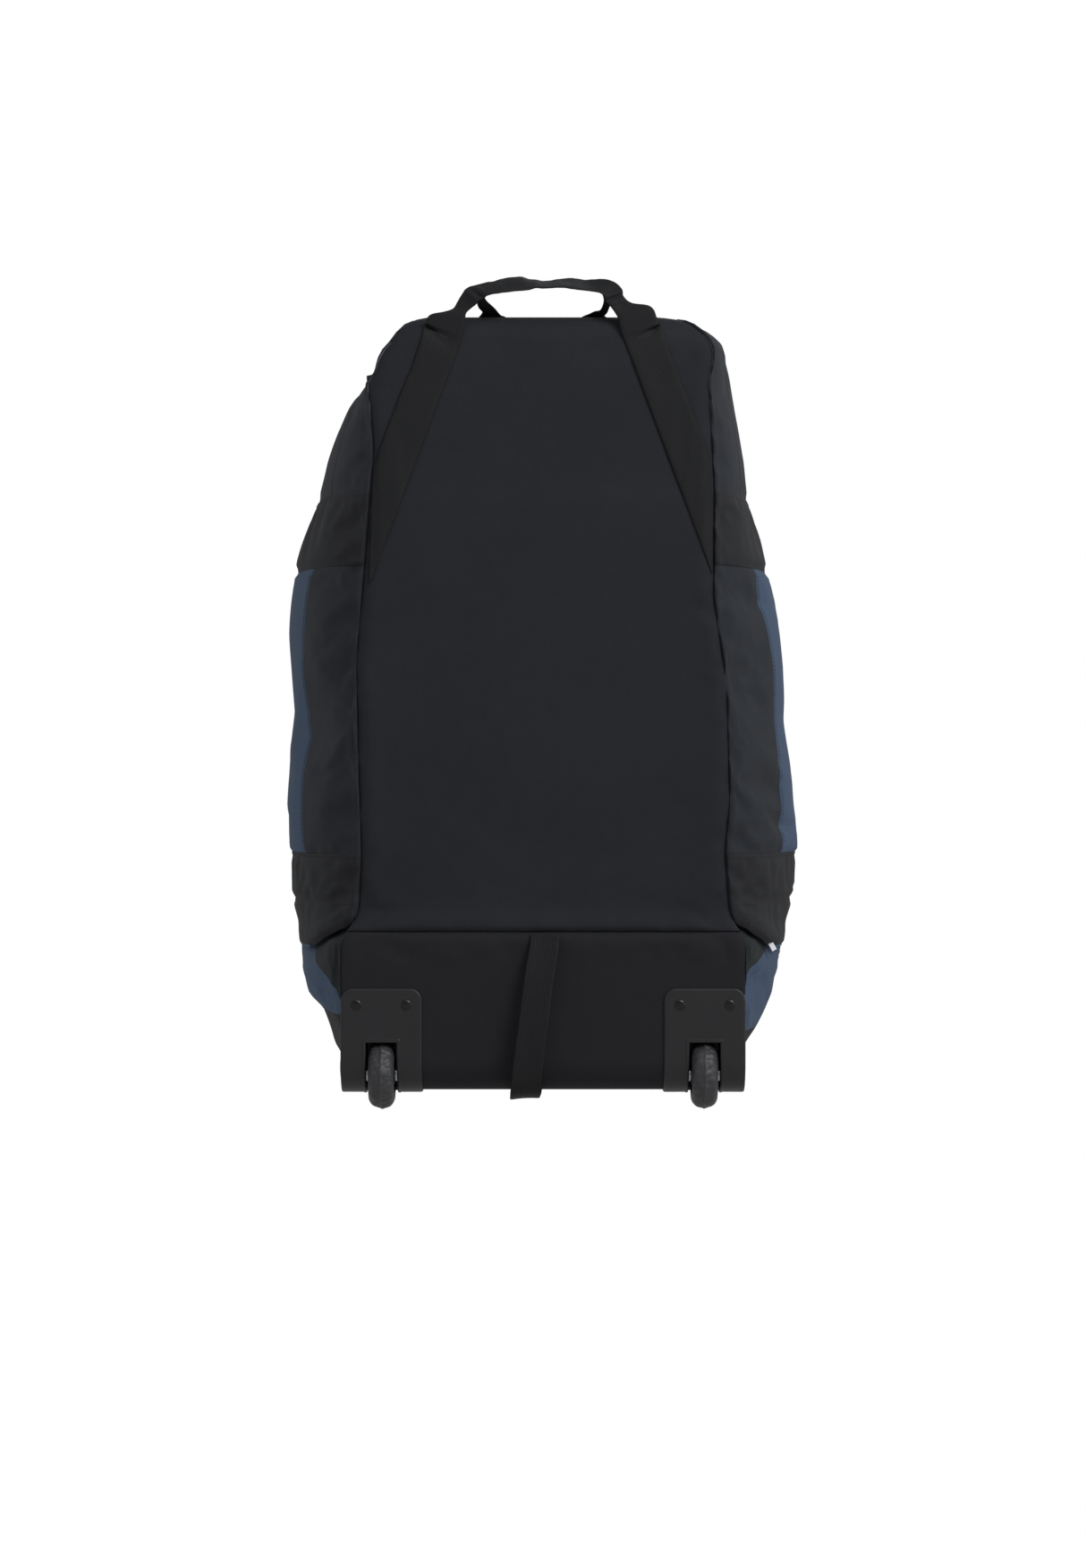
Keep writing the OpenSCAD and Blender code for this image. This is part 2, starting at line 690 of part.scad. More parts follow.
place() base_panel();
place() wheel_box_cover();
place() end_panel_top();
place() end_panel_bottom();
place() side_strip(-1);  // side_strip_left
place() side_strip(1);  // side_strip_right
place() corner_gusset(-1);  // corner_gusset_left
place() corner_gusset(1);  // corner_gusset_right
place() side_panel(-1);  // side_panel_left
place() side_panel(1);  // side_panel_right
place() front_frame();
place() hinge_strip();
place() front_top_panel();
place() front_bottom_panel();
place() side_bands(-1);  // side_bands_left
place() side_bands(1);  // side_bands_right
place() seam_tape(-1);  // seam_tape_left
place() seam_tape(1);  // seam_tape_right
place() base_board();
place() end_board();
place() rivet_bar();
place() wheel_housing(-1);  // wheel_housing_left
place() wheel_housing(1);  // wheel_housing_right
place() housing_rivets();
place() axle(-1);  // axle_left
place() axle(1);  // axle_right
place() axle_nuts();
place() axle_spacers();
place() stand_feet();
place() foot_screws();
place() wheel_hub(-1);  // wheel_hub_left
place() wheel_hub(1);  // wheel_hub_right
place() wheel_bush(-1);  // wheel_bush_left
place() wheel_bush(1);  // wheel_bush_right
place() wheel_tyre(-1);  // wheel_tyre_left
place() wheel_tyre(1);  // wheel_tyre_right
place() lid_panel();
place() lid_bands();
place() zip_chain_lid();
place() zip_chain_body();
place() zip_tape_body();
place() zip_stops();
place() zip_slider();
place() zip_pull();
place() base_strap(-1);  // base_strap_left
place() base_strap(1);  // base_strap_right
place() pull_handle();
place() handle_leg(-1);  // handle_leg_left
place() handle_leg(1);  // handle_leg_right
place() handle_feet();
place() end_loop();
place() end_loop_tabs();
place() carry_handle(-1);  // carry_handle_left
place() carry_handle(1);  // carry_handle_right
place() carry_anchors();
place() side_label();
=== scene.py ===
"""Looks of the rolling duffel bag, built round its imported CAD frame.

Lengths are in millimetres and points lie in the CAD source's own axes (x right, y into the bag
from the wheel box face, z up) until place() turns them into the frame's metres.
"""
import math

import bmesh
import bpy
import numpy as np
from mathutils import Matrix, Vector, noise


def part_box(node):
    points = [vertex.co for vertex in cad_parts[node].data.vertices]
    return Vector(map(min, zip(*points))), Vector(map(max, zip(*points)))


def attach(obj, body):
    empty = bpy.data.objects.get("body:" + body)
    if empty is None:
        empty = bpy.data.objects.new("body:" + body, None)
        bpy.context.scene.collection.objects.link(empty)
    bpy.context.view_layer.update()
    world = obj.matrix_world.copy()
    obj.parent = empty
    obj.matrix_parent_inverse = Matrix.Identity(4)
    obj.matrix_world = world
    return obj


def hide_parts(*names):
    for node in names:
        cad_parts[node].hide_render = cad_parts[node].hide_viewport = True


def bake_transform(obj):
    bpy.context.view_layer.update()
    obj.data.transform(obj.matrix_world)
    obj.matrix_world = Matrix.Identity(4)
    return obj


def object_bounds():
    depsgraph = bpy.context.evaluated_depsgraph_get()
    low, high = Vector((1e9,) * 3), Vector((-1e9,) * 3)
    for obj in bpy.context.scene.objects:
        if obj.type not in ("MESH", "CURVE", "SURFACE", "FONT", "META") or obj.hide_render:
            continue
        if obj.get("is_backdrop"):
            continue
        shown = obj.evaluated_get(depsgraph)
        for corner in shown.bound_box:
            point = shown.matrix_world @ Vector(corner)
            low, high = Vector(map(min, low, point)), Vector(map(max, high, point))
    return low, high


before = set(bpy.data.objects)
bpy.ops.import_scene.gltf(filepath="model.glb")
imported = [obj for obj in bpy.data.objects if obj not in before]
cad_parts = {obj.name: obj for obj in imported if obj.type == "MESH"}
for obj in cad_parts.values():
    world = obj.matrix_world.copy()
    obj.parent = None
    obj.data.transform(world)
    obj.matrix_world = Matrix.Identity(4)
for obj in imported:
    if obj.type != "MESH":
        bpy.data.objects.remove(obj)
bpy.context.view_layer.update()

MM = 0.001
FACE_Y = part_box("wheel_box_cover")[0].y / MM   # where the wheel box face lies in the frame

# ---- Sizes, as in the CAD source ----

BODY_LOW = 18
BODY_HIGH = 785
FRONT_DEPTH = 300
BASE_STEP = 10
BOX_HIGH = 176
END_ROUND = 26        # radius where the sides turn into the top end
BOX_ROUND = 30        # radius where the base and front turn into the wheel end
BOX_TUCK = 5
STRIP_Q = 0.285       # where the dark strip meets the blue side panel
FLAT_HALF = 165
FRAME_LOW = 94
FRAME_HIGH = 638
LID_HALF = 145
LID_LOW = 122
LID_HIGH = 618
LID_CORNER = 45
HINGE_X = -145
CHAIN_END = -160
WHEEL_X = 159
WHEEL_R = 34
WHEEL_HALF = 12.75
HUB_R = 21
AXLE_Y = 16
SLOT_HALF = 15.5
SLOT_TOP = 67
WELL_R = 37
HOUSING_HALF = 40
HOUSING_TOP = 120
HOUSING_END = 110
HOUSING_T = 2.2
RIVET_HALF = 24.5
RIVET_Z = 104
RIVET_Y = 96
WEB_W = 38
WEB_T = 1.8
LOOP_W = 29
BANDS = [(201, 252), (537, 610)]
CLOTH_T = 1.6
SIDES = ((-1, "left"), (1, "right"))

SEAM = {
    -1: [(0, 199), (170, 199), (192, 182), (252, 179), (346, 182), (444, 184), (537, 176),
         (650, 167), (724, 174), (790, 152)],
    1: [(0, 199), (170, 199), (192, 184), (255, 179), (303, 184), (419, 181), (506, 168),
        (610, 169), (720, 164), (754, 169), (790, 156)],
}
BULGE = {
    -1: [(0, 202), (50, 205), (77, 219), (100, 236), (122, 246), (167, 251), (211, 258), (290, 263),
         (366, 260), (477, 260), (544, 253), (588, 241), (654, 220), (699, 202), (739, 185),
         (762, 169), (790, 166)],
    1: [(0, 202), (56, 208), (77, 220), (122, 237), (167, 246), (211, 258), (262, 263), (322, 258),
        (411, 250), (477, 243), (544, 229), (610, 212), (677, 201), (743, 189), (765, 184),
        (790, 186)],
}
FRONT_Y = [(0, 288), (60, 298), (92, 300), (640, 300), (670, 298), (730, 276), (790, 240)]
FLAT_X = [(0, 130), (92, 165), (640, 165), (700, 140), (790, 105)]
BASE_Y = [(0, 0), (168, 0), (196, 1), (790, 1)]


def lookup(z, pairs):
    return np.interp(z, [p[0] for p in pairs], [p[1] for p in pairs])


def eased(z, pairs):
    return (lookup(z - 9, pairs) + 2 * lookup(z, pairs) + lookup(z + 9, pairs)) / 4


def smooth(x):
    x = np.clip(x, 0, 1)
    return x * x * (3 - 2 * x)


def hump(x, middle, width):
    return np.exp(-(((x - middle) / width) ** 2))


def lumps(x, y, seed, size=64):
    """Smooth noise from -1 to 1 with about one lump per unit of x and y."""
    lattice = np.random.default_rng(seed).uniform(-1, 1, (size, size))
    x, y = np.broadcast_arrays(np.asarray(x, float), np.asarray(y, float))
    i, j = np.floor(x).astype(int), np.floor(y).astype(int)
    a, b = smooth(x - i), smooth(y - j)
    at = lambda p, q: lattice[p % size, q % size]
    near = at(i, j) * (1 - a) + at(i + 1, j) * a
    far = at(i, j + 1) * (1 - a) + at(i + 1, j + 1) * a
    return near * (1 - b) + far * b


# ---- The bag's skin ----
# A point of it is (c, v): v is the height along the cloth and c runs round the bag, 0 to 1 across
# the base, 1 to 2 along the right side, 2 to 3 across the front and 3 to 4 along the left side.

BASE_SPAN = 360       # usual lengths of one unit of c on the base, the sides and the front
SIDE_SPAN = 345
FRONT_SPAN = 330


def row(v, t):
    """Height, and insets of the base and front, of the sides and of the front's flat, t below the skin."""
    top = np.clip((v - BODY_HIGH + END_ROUND) / END_ROUND, 0, 1) * math.pi / 2
    low = np.clip((BODY_LOW + BOX_ROUND - v) / BOX_ROUND, 0, 1) * math.pi / 2
    at_top, at_low = top > 0, low > 0
    z = np.where(at_top, BODY_HIGH - END_ROUND + (END_ROUND - t) * np.sin(top),
                 np.where(at_low, BODY_LOW + BOX_ROUND - (BOX_ROUND - t) * np.sin(low), v))
    over_top = END_ROUND - (END_ROUND - t) * np.cos(top)
    over_low = BOX_ROUND - (BOX_ROUND - t) * np.cos(low)
    depth = np.where(at_top, over_top, np.where(at_low, over_low, t))
    side = np.where(at_top, over_top, np.where(at_low, t + BOX_TUCK * (1 - np.cos(low)), t))
    flat = np.where(at_top, END_ROUND * (1 - np.cos(top)) * 0.6, 0)
    return z, depth, side, flat


DROOP = [(-200, 20), (-165, 20), (-150, 18), (-140, 9), (-126, 3), (-112, 0), (112, 0), (140, 4),
         (160, 7), (200, 6)]      # how far the soft top corners sink, by x
SLIM = {                            # how much flatter than the CAD source a side hangs, by height
    -1: [(20, 2), (60, 1), (90, 9), (107, 3), (125, 3), (150, 4), (180, 7), (205, 4), (323, 4),
         (362, 6), (395, 10), (432, 7), (472, 4), (520, 2), (600, 4), (650, 1), (700, 1), (740, 6),
         (762, 3), (780, 0)],
    1: [(20, 3), (60, 7), (90, 3), (107, 2), (125, 4), (150, 3), (180, 6), (205, 4), (323, 6),
        (388, 10), (440, 5), (520, 3), (600, 3), (650, 0), (700, 1), (780, 0)],
}


def plain_skin(c, v, t=0.0):
    """The smooth skin of the CAD source with sunken top corners, t below its surface."""
    c, v, t = np.broadcast_arrays(np.mod(c, 4.0), np.asarray(v, float), np.asarray(t, float))
    z, depth, inset, flat_inset = row(v, t)
    y0 = BASE_STEP * eased(z, BASE_Y) + depth
    y1 = lookup(z, FRONT_Y) - depth
    middle = (y0 - depth + y1 + depth) * 0.48
    flat = lookup(z, FLAT_X) - flat_inset
    across = 2 * c - 1
    seam = {s: eased(z, SEAM[s]) - inset for s in (-1, 1)}
    base = [across * np.where(across < 0, seam[-1], seam[1]), y0]
    front = [(1 - 2 * (c - 2)) * flat, y1]
    sides = {}
    for s in (-1, 1):
        q = c - 1 if s > 0 else 4 - c
        bulge = eased(z, BULGE[s]) - inset
        a = np.clip(np.abs(1 - 2 * q), 0, 1) * math.pi / 2
        x_low = seam[s] + (bulge - seam[s]) * np.cos(a) ** 1.25
        x_high = flat + (bulge - flat) * np.cos(a) ** 0.87
        y_low = middle - (middle - y0) * np.sin(a) ** 1.25
        y_high = middle + (y1 - middle) * np.sin(a) ** 0.87
        sides[s] = [s * np.where(q < 0.5, x_low, x_high), np.where(q < 0.5, y_low, y_high)]
    part = np.floor(c).astype(int)
    x = np.select([part == 0, part == 1, part == 2], [base[0], sides[1][0], front[0]], sides[-1][0])
    y = np.select([part == 0, part == 1, part == 2], [base[1], sides[1][1], front[1]], sides[-1][1])
    return np.stack([x, y, z - lookup(x, DROOP) * smooth((z - 700) / 55)], -1)


def unit(v):
    return v / np.maximum(np.linalg.norm(v, axis=-1, keepdims=True), 1e-9)


def fold_height(q):
    """Height of the fold where the full side hangs over the slimmer wheel box."""
    return 186 - 28 * smooth(q / 0.32)


def fold_share(q):
    return 1 - smooth((q - 0.30) / 0.25)


def side_q(c):
    """Share of the way round a side from the base seam, and 1 on the front."""
    c = np.mod(c, 4.0)
    return np.where(c < 1, 0, np.where(c < 2, c - 1, np.where(c < 3, 1, 4 - c)))


def relief(c, v):
    """How far the cloth stands out of the smooth skin beside its seams."""
    c = np.mod(c, 4.0)
    on_base = c <= 1
    on_side = ~on_base & ((c < 2) | (c > 3))
    from_seam = np.where(on_base, np.minimum(c, 1 - c) * BASE_SPAN,
                         np.minimum(np.abs(c - 1), 4 - c) * SIDE_SPAN)
    above_box = smooth((v - 150) / 40)
    which = np.where((c > 0.5) & (c < 2.5), 0.0, 7.3)
    h = np.where(on_base, -1.5, -2.6) * hump(from_seam, 0, 4) * above_box
    h = h + np.where(on_base, 0.5, 1.5) * hump(from_seam, 13, 8) * above_box
    pucker = lumps(v / 15 + which, from_seam / 45, 3) + 0.6 * lumps(v / 7 + which, from_seam / 30, 4)
    h = h + pucker * np.where(on_base, 0.45, 1.0) * np.exp(-from_seam / 20) * above_box
    at_box = np.where(on_base, 1.0, 0.0) * smooth(from_seam / 30)
    h = h + at_box * (1.3 * hump(v, 184, 6) - 1.6 * hump(v, BOX_HIGH, 2.6) + 0.5 * hump(v, 169, 4))
    h = h + at_box * 0.7 * lumps(c * 26, v / 60, 5) * hump(v, 186, 12)
    h = h - at_box * 0.5 * hump(v, 104, 2.2)
    front_seam = np.where(on_side | (c > 2) & (c < 3), np.abs(side_q(c) - 1) * SIDE_SPAN, 99)
    front_seam = np.where((c >= 2) & (c <= 3), np.minimum(c - 2, 3 - c) * FRONT_SPAN, front_seam)
    h = h - 1.2 * hump(front_seam, 0, 3) * np.where(on_base, 0, 1)
    h = h + 0.7 * lumps(v / 14, front_seam / 40 + which, 6) * np.exp(-front_seam / 18) * (~on_base)
    crease = np.where(on_side, lumps(v / 34 + which, side_q(c) * 7 + v / 160, 8), 0)
    h = h + 1.1 * crease * smooth(side_q(c) / 0.08) * smooth((1 - side_q(c)) / 0.1)
    slim = np.where(c < 2, lookup(v, SLIM[1]), lookup(v, SLIM[-1]))
    return h - slim * np.where(on_side, np.sin(math.pi * side_q(c)) ** 0.7, 0)


GRID_C = 176          # the simulated grid round the bag, 44 columns to a unit of c
GRID_V = 104
V_TICKS = np.linspace(BODY_LOW, BODY_HIGH, GRID_V)
sag = np.zeros((GRID_V, GRID_C, 3))


def settle():
    """Lets the bag's cloth fill out and crease under its own weight between its seams."""
    cs = np.arange(GRID_C) * 4 / GRID_C
    cc, vv = np.meshgrid(cs, V_TICKS)
    rest = plain_skin(cc, vv)
    mesh = bpy.data.meshes.new("settle")
    faces = [(i * GRID_C + j, i * GRID_C + (j + 1) % GRID_C,
              (i + 1) * GRID_C + (j + 1) % GRID_C, (i + 1) * GRID_C + j)
             for i in range(GRID_V - 1) for j in range(GRID_C)]
    mesh.from_pydata((rest.reshape(-1, 3) * MM).tolist(), [], faces)
    cloth = bpy.data.objects.new("settle", mesh)
    bpy.context.scene.collection.objects.link(cloth)
    on_base = cc <= 1
    to_seam = np.minimum(np.abs(cc - np.round(cc)) * 345, 99)
    held = (to_seam < 3) | (vv < 150) & on_base | (vv < 30) | (vv > 770)
    held |= on_base & (np.abs(vv - BOX_HIGH) < 5)
    x, z = rest[..., 0], rest[..., 2]
    zip_side = np.maximum(np.abs(x) - LID_HALF, np.maximum(LID_LOW - z, z - LID_HIGH))
    held |= (cc > 2) & (cc < 3) & (np.abs(zip_side) < 9)
    for low, high in BANDS:
        held |= (np.abs(vv - low) < 4) & ~on_base | (np.abs(vv - high) < 4) & ~on_base
    group = cloth.vertex_groups.new(name="held")
    group.add(np.flatnonzero(held.ravel()).tolist(), 1.0, "REPLACE")
    cloth.modifiers.new("cloth", "CLOTH")
    s = cloth.modifiers["cloth"].settings
    s.quality = 5
    s.mass = 0.06
    s.tension_stiffness = s.compression_stiffness = 60
    s.shear_stiffness = 20
    s.bending_stiffness = 0.25
    s.air_damping = 3
    s.vertex_group_mass = "held"
    s.use_pressure = True
    s.uniform_pressure_force = 1.6
    s.shrink_min = -0.022
    s.effector_weights.gravity = 0.25
    cloth.modifiers["cloth"].collision_settings.use_collision = False
    cloth.modifiers["cloth"].point_cache.frame_end = 40
    for f in range(1, 33):
        bpy.context.scene.frame_set(f)
    done = cloth.evaluated_get(bpy.context.evaluated_depsgraph_get()).data
    moved = np.zeros(GRID_V * GRID_C * 3)
    done.vertices.foreach_get("co", moved)
    shift = moved.reshape(rest.shape) / MM - rest
    bpy.context.scene.frame_set(1)
    bpy.data.objects.remove(cloth)
    size = np.linalg.norm(shift, axis=-1)
    limit = np.where(on_base, 2.2, 5.5) * (1 - 0.7 * smooth((vv - 595) / 25))
    limit = limit * smooth((vv - BODY_LOW) / 40) * smooth((BODY_HIGH - vv) / 22)
    return shift * (limit * np.tanh(size / np.maximum(limit, 1e-6)) / np.maximum(size, 1e-6))[..., None]


def catmull(f):
    """Weights of the four samples round a point that lies f of the way between the middle two."""
    return [0.5 * (-f + 2 * f ** 2 - f ** 3), 0.5 * (2 - 5 * f ** 2 + 3 * f ** 3),
            0.5 * (f + 4 * f ** 2 - 3 * f ** 3), 0.5 * (-f ** 2 + f ** 3)]


def settled(c, v):
    """The simulated shift at a point, smoothly interpolated."""
    x = np.mod(c, 4.0) * GRID_C / 4
    y = np.clip((v - BODY_LOW) / (BODY_HIGH - BODY_LOW), 0, 1) * (GRID_V - 1)
    i = np.minimum(np.floor(y).astype(int), GRID_V - 2)
    j = np.floor(x).astype(int)
    down, along = catmull(y - i), catmull(x - j)
    total = 0
    for a in range(4):
        rows = np.clip(i - 1 + a, 0, GRID_V - 1)
        for b in range(4):
            total = total + (down[a] * along[b])[..., None] * sag[rows, (j - 1 + b) % GRID_C]
    return total


def skin(c, v, t=0.0, extra=0.0):
    """The finished skin, t below its surface and extra proud of its usual relief."""
    c, v, t, extra = np.broadcast_arrays(np.asarray(c, float), np.asarray(v, float), t, extra)
    p = plain_skin(c, v) + settled(c, v)
    along = plain_skin(c + 0.004, v) - plain_skin(c - 0.004, v)
    up = plain_skin(c, v + 1.5) - plain_skin(c, v - 1.5)
    normal = unit(np.cross(along, up))
    return p + normal * (relief(c, v) + extra - t)[..., None]


def front_c(x, z):
    return 2 + (1 - x / lookup(z, FLAT_X)) / 2


# ---- Meshes ----

def place(points):
    """Points of the CAD source's axes in the frame's metres."""
    return (np.asarray(points, float) + [0, FACE_Y, 0]) * MM


def new_object(name, points, faces, uv=None, materials=(), indices=None, flat=False):
    mesh = bpy.data.meshes.new(name)
    mesh.from_pydata(place(points).tolist(), [], [tuple(int(k) for k in f) for f in faces])
    mesh.validate()
    for m in materials:
        mesh.materials.append(m)
    if indices is not None:
        mesh.polygons.foreach_set("material_index", np.asarray(indices, np.int32))
    if uv is not None:
        layer = mesh.uv_layers.new(name="cloth")
        corner = np.zeros(len(mesh.loops), np.int32)
        mesh.loops.foreach_get("vertex_index", corner)
        layer.data.foreach_set("uv", (np.asarray(uv) * MM)[corner].astype(np.float32).ravel())
    mesh.polygons.foreach_set("use_smooth", np.full(len(mesh.polygons), not flat))
    obj = bpy.data.objects.new(name, mesh)
    bpy.context.scene.collection.objects.link(obj)
    tidy(obj)
    return obj


def tidy(obj):
    """Merges doubled points, drops faces without area and turns every face outward."""
    bm = bmesh.new()
    bm.from_mesh(obj.data)
    bmesh.ops.remove_doubles(bm, verts=bm.verts, dist=2e-6)
    bmesh.ops.dissolve_degenerate(bm, dist=1e-6, edges=bm.edges)
    bmesh.ops.recalc_face_normals(bm, faces=bm.faces)
    bm.to_mesh(obj.data)
    bm.free()


def slab(name, outer, inner, uv, materials, keep=None, split=None, sharp=40):
    """Closed cloth between two grids of points. keep says which cells it has; the inner face takes the
    last material, the edges take their cell's, and split(v row) can give a cell another one."""
    rows, cols = outer.shape[:2]
    n = rows * cols
    if keep is None:
        keep = np.ones((rows - 1, cols - 1), bool)
    at = lambda i, j: i * cols + j
    faces, index = [], []
    last = len(materials) - 1
    for i in range(rows - 1):
        for j in range(cols - 1):
            if not keep[i, j]:
                continue
            a, b, c, d = at(i, j), at(i, j + 1), at(i + 1, j + 1), at(i + 1, j)
            faces.append((a, b, c, d))
            index.append(0 if split is None else int(split[i, j]))
            faces.append((n + d, n + c, n + b, n + a))
            index.append(last)
            for gone, p, q in ((i == 0 or not keep[i - 1, j], a, b),
                               (j == cols - 2 or not keep[i, j + 1], b, c),
                               (i == rows - 2 or not keep[i + 1, j], c, d),
                               (j == 0 or not keep[i, j - 1], d, a)):
                if gone:
                    faces.append((q, p, n + p, n + q))
                    index.append(0 if split is None else int(split[i, j]))
    points = np.concatenate([outer.reshape(-1, 3), inner.reshape(-1, 3)])
    used = np.zeros(2 * n, bool)
    used[np.unique([k for f in faces for k in f])] = True
    new = np.cumsum(used) - 1
    flat_uv = np.concatenate([uv.reshape(-1, 2)] * 2)[used]
    obj = new_object(name, points[used], [[new[k] for k in f] for f in faces], flat_uv, materials, index)
    obj.data.set_sharp_from_angle(angle=math.radians(sharp))
    return obj


EDGE = (0, 0.5, 1.2, 2.4)     # steps in from a sewn edge, where the cloth turns under


def ticks(length, step, low=True, high=True):
    """Shares from 0 to 1 along a length, closer together at its turned edges."""
    n = max(2, round(length / step))
    middle = np.linspace(0, 1, n + 1)
    ends = [np.array(EDGE) / length] if low else []
    tops = [1 - np.array(EDGE) / length] if high else []
    inside = (middle > (EDGE[-1] * 1.6 / length if low else -1))
    inside &= (middle < (1 - EDGE[-1] * 1.6 / length if high else 2))
    return np.unique(np.concatenate(ends + [middle[inside]] + tops))


def turned(share, length, low=True, high=True, radius=2.4, drop=1.5):
    """How far a sewn edge turns under at a share of a length."""
    d = np.full(np.shape(share), 1e9)
    if low:
        d = np.minimum(d, share * length)
    if high:
        d = np.minimum(d, (1 - share) * length)
    d = np.clip(d, 0, radius)
    return drop * (1 - np.sqrt(np.maximum(0, 1 - (1 - d / radius) ** 2)))


def panel(name, materials, c0, c1, v0, v1, step=5.0, span=SIDE_SPAN, lift=0.0, thick=CLOTH_T,
          turn=(1, 1, 1, 1), extra=None, split=None, keep=None, cs=None, vs=None):
    """A cloth panel of the skin. c0 and c1 may be functions of v, v0 and v1 functions of c; turn says
    which of its edges turn under, in the order c0, c1, v0, v1."""
    number = lambda f, x: f(x) if callable(f) else np.full(np.shape(x), float(f))
    middle_v = (np.mean(number(v0, np.array([1.0]))) + np.mean(number(v1, np.array([1.0])))) / 2
    width = abs(float(np.mean(number(c1, middle_v) - number(c0, middle_v)))) * span
    c_mid = float(np.mean(number(c0, middle_v) + number(c1, middle_v))) / 2
    height = float(np.mean(number(v1, c_mid) - number(v0, c_mid)))
    a = ticks(width, step, *turn[:2]) if cs is None else cs
    b = ticks(height, step, *turn[2:]) if vs is None else vs
    aa, bb = np.meshgrid(a, b)
    guess = number(v0, c_mid) + bb * height
    cc = number(c0, guess) + aa * (number(c1, guess) - number(c0, guess))
    vv = number(v0, cc) + bb * (number(v1, cc) - number(v0, cc))
    cc = number(c0, vv) + aa * (number(c1, vv) - number(c0, vv))
    under = np.maximum(turned(aa, width, *turn[:2]), turned(bb, height, *turn[2:]))
    more = 0 if extra is None else extra(cc, vv)
    outer = skin(cc, vv, under - lift, more)
    inner = skin(cc, vv, np.maximum(thick, under + 0.4) - lift, more)
    uv = np.stack([cc * span, vv], -1)
    cells = lambda f: f((cc[:-1, :-1] + cc[1:, 1:]) / 2, (vv[:-1, :-1] + vv[1:, 1:]) / 2)
    return slab(name, outer, inner, uv, materials, None if keep is None else cells(keep),
                None if split is None else cells(split))


def curve(points, m):
    """Smooth curve through the points, m steps between neighbours."""
    p = np.asarray(points, float)
    n = len(p)
    out = []
    for i in range(n - 1):
        a, b, c, d = p[max(i - 1, 0)], p[i], p[i + 1], p[min(i + 2, n - 1)]
        for k in range(m):
            w = catmull(k / m)
            out.append(a * w[0] + b * w[1] + c * w[2] + d * w[3])
    return np.array(out + [p[-1]])


def webbing(name, left, right, thick=WEB_T, columns=12, curl=0.25, seed=1, extra=None, materials=None):
    """A strap between two edge lines, with rounded selvedges and a slight wave in its surface."""
    left, right = np.asarray(left, float), np.asarray(right, float)
    middle = (left + right) / 2
    along = unit(np.gradient(middle, axis=0))
    across = unit(right - left)
    normal = unit(np.cross(along, across))
    width = np.linalg.norm(right - left, axis=1)
    length = np.concatenate([[0], np.cumsum(np.linalg.norm(np.diff(middle, axis=0), axis=1))])
    s = np.concatenate([[0, 0.035], np.linspace(0.1, 0.9, columns - 3), [0.965, 1]])
    half = thick / 2 * np.sqrt(np.clip(1 - np.abs(2 * s - 1) ** 14, 0.12, 1))
    wave = 0.35 * lumps(length[:, None] / 28, s[None] * 2.2, seed)
    wave = wave + curl * (2 * s[None] - 1) ** 2
    line = left[:, None] + (right - left)[:, None] * s[None, :, None]
    if extra is not None:
        wave = wave - extra(line)
    outer = line + normal[:, None] * (half[None] + wave)[..., None]
    inner = line - normal[:, None] * (half[None] - wave)[..., None]
    uv = np.stack(np.broadcast_arrays(s[None] * width[:, None], length[:, None]), -1)
    return slab(name, outer, inner, uv, materials or [material["webbing"]], sharp=75)


def edges_of(path, across, width):
    """Two edge lines of a strap along a path, its width turned square to the path."""
    along = unit(np.gradient(path, axis=0))
    across = unit(across - (across * along).sum(-1, keepdims=True) * along)
    return path - across * width / 2, path + across * width / 2


def small_boxes(name, centres, along, across, out, sizes, mat):
    """Many little blocks with bevelled tops, such as zip teeth or stitches."""
    corner = np.array([(x, y, z) for z in (0, 1) for x, y in ((-1, -1), (1, -1), (1, 1), (-1, 1))], float)
    taper = np.where(corner[:, 2] > 0, 0.72, 1.0)[:, None]
    corner[:, :2] *= taper / 2
    quads = [(3, 2, 1, 0), (4, 5, 6, 7), (0, 1, 5, 4), (1, 2, 6, 5), (2, 3, 7, 6), (3, 0, 4, 7)]
    points, faces = [], []
    for k, p in enumerate(centres):
        frame_of = np.stack([along[k] * sizes[0], across[k] * sizes[1], out[k] * sizes[2]])
        points.append(p + corner @ frame_of)
        faces += [[8 * k + i for i in q] for q in quads]
    return new_object(name, np.concatenate(points), faces, None, [mat], flat=True)


def turned_faces(steps, n, closed):
    """Faces between the steps of a profile of n points turned about an axis; closed joins its ends."""
    faces = []
    for i in range(steps):
        a, b = i * n, (i + 1) % steps * n
        for j in range(n if closed else n - 1):
            m = (j + 1) % n
            faces.append((a + j, b + j, b + m, a + m))
    return faces


def lathe(profile, steps):
    """Points and faces of a profile [(radius, height)] turned about its own axis."""
    ring = np.arange(steps) * 2 * math.pi / steps
    points = [(r * math.cos(a), r * math.sin(a), h) for a in ring for r, h in profile]
    return np.array(points), turned_faces(steps, len(profile), False)


# ---- Materials ----

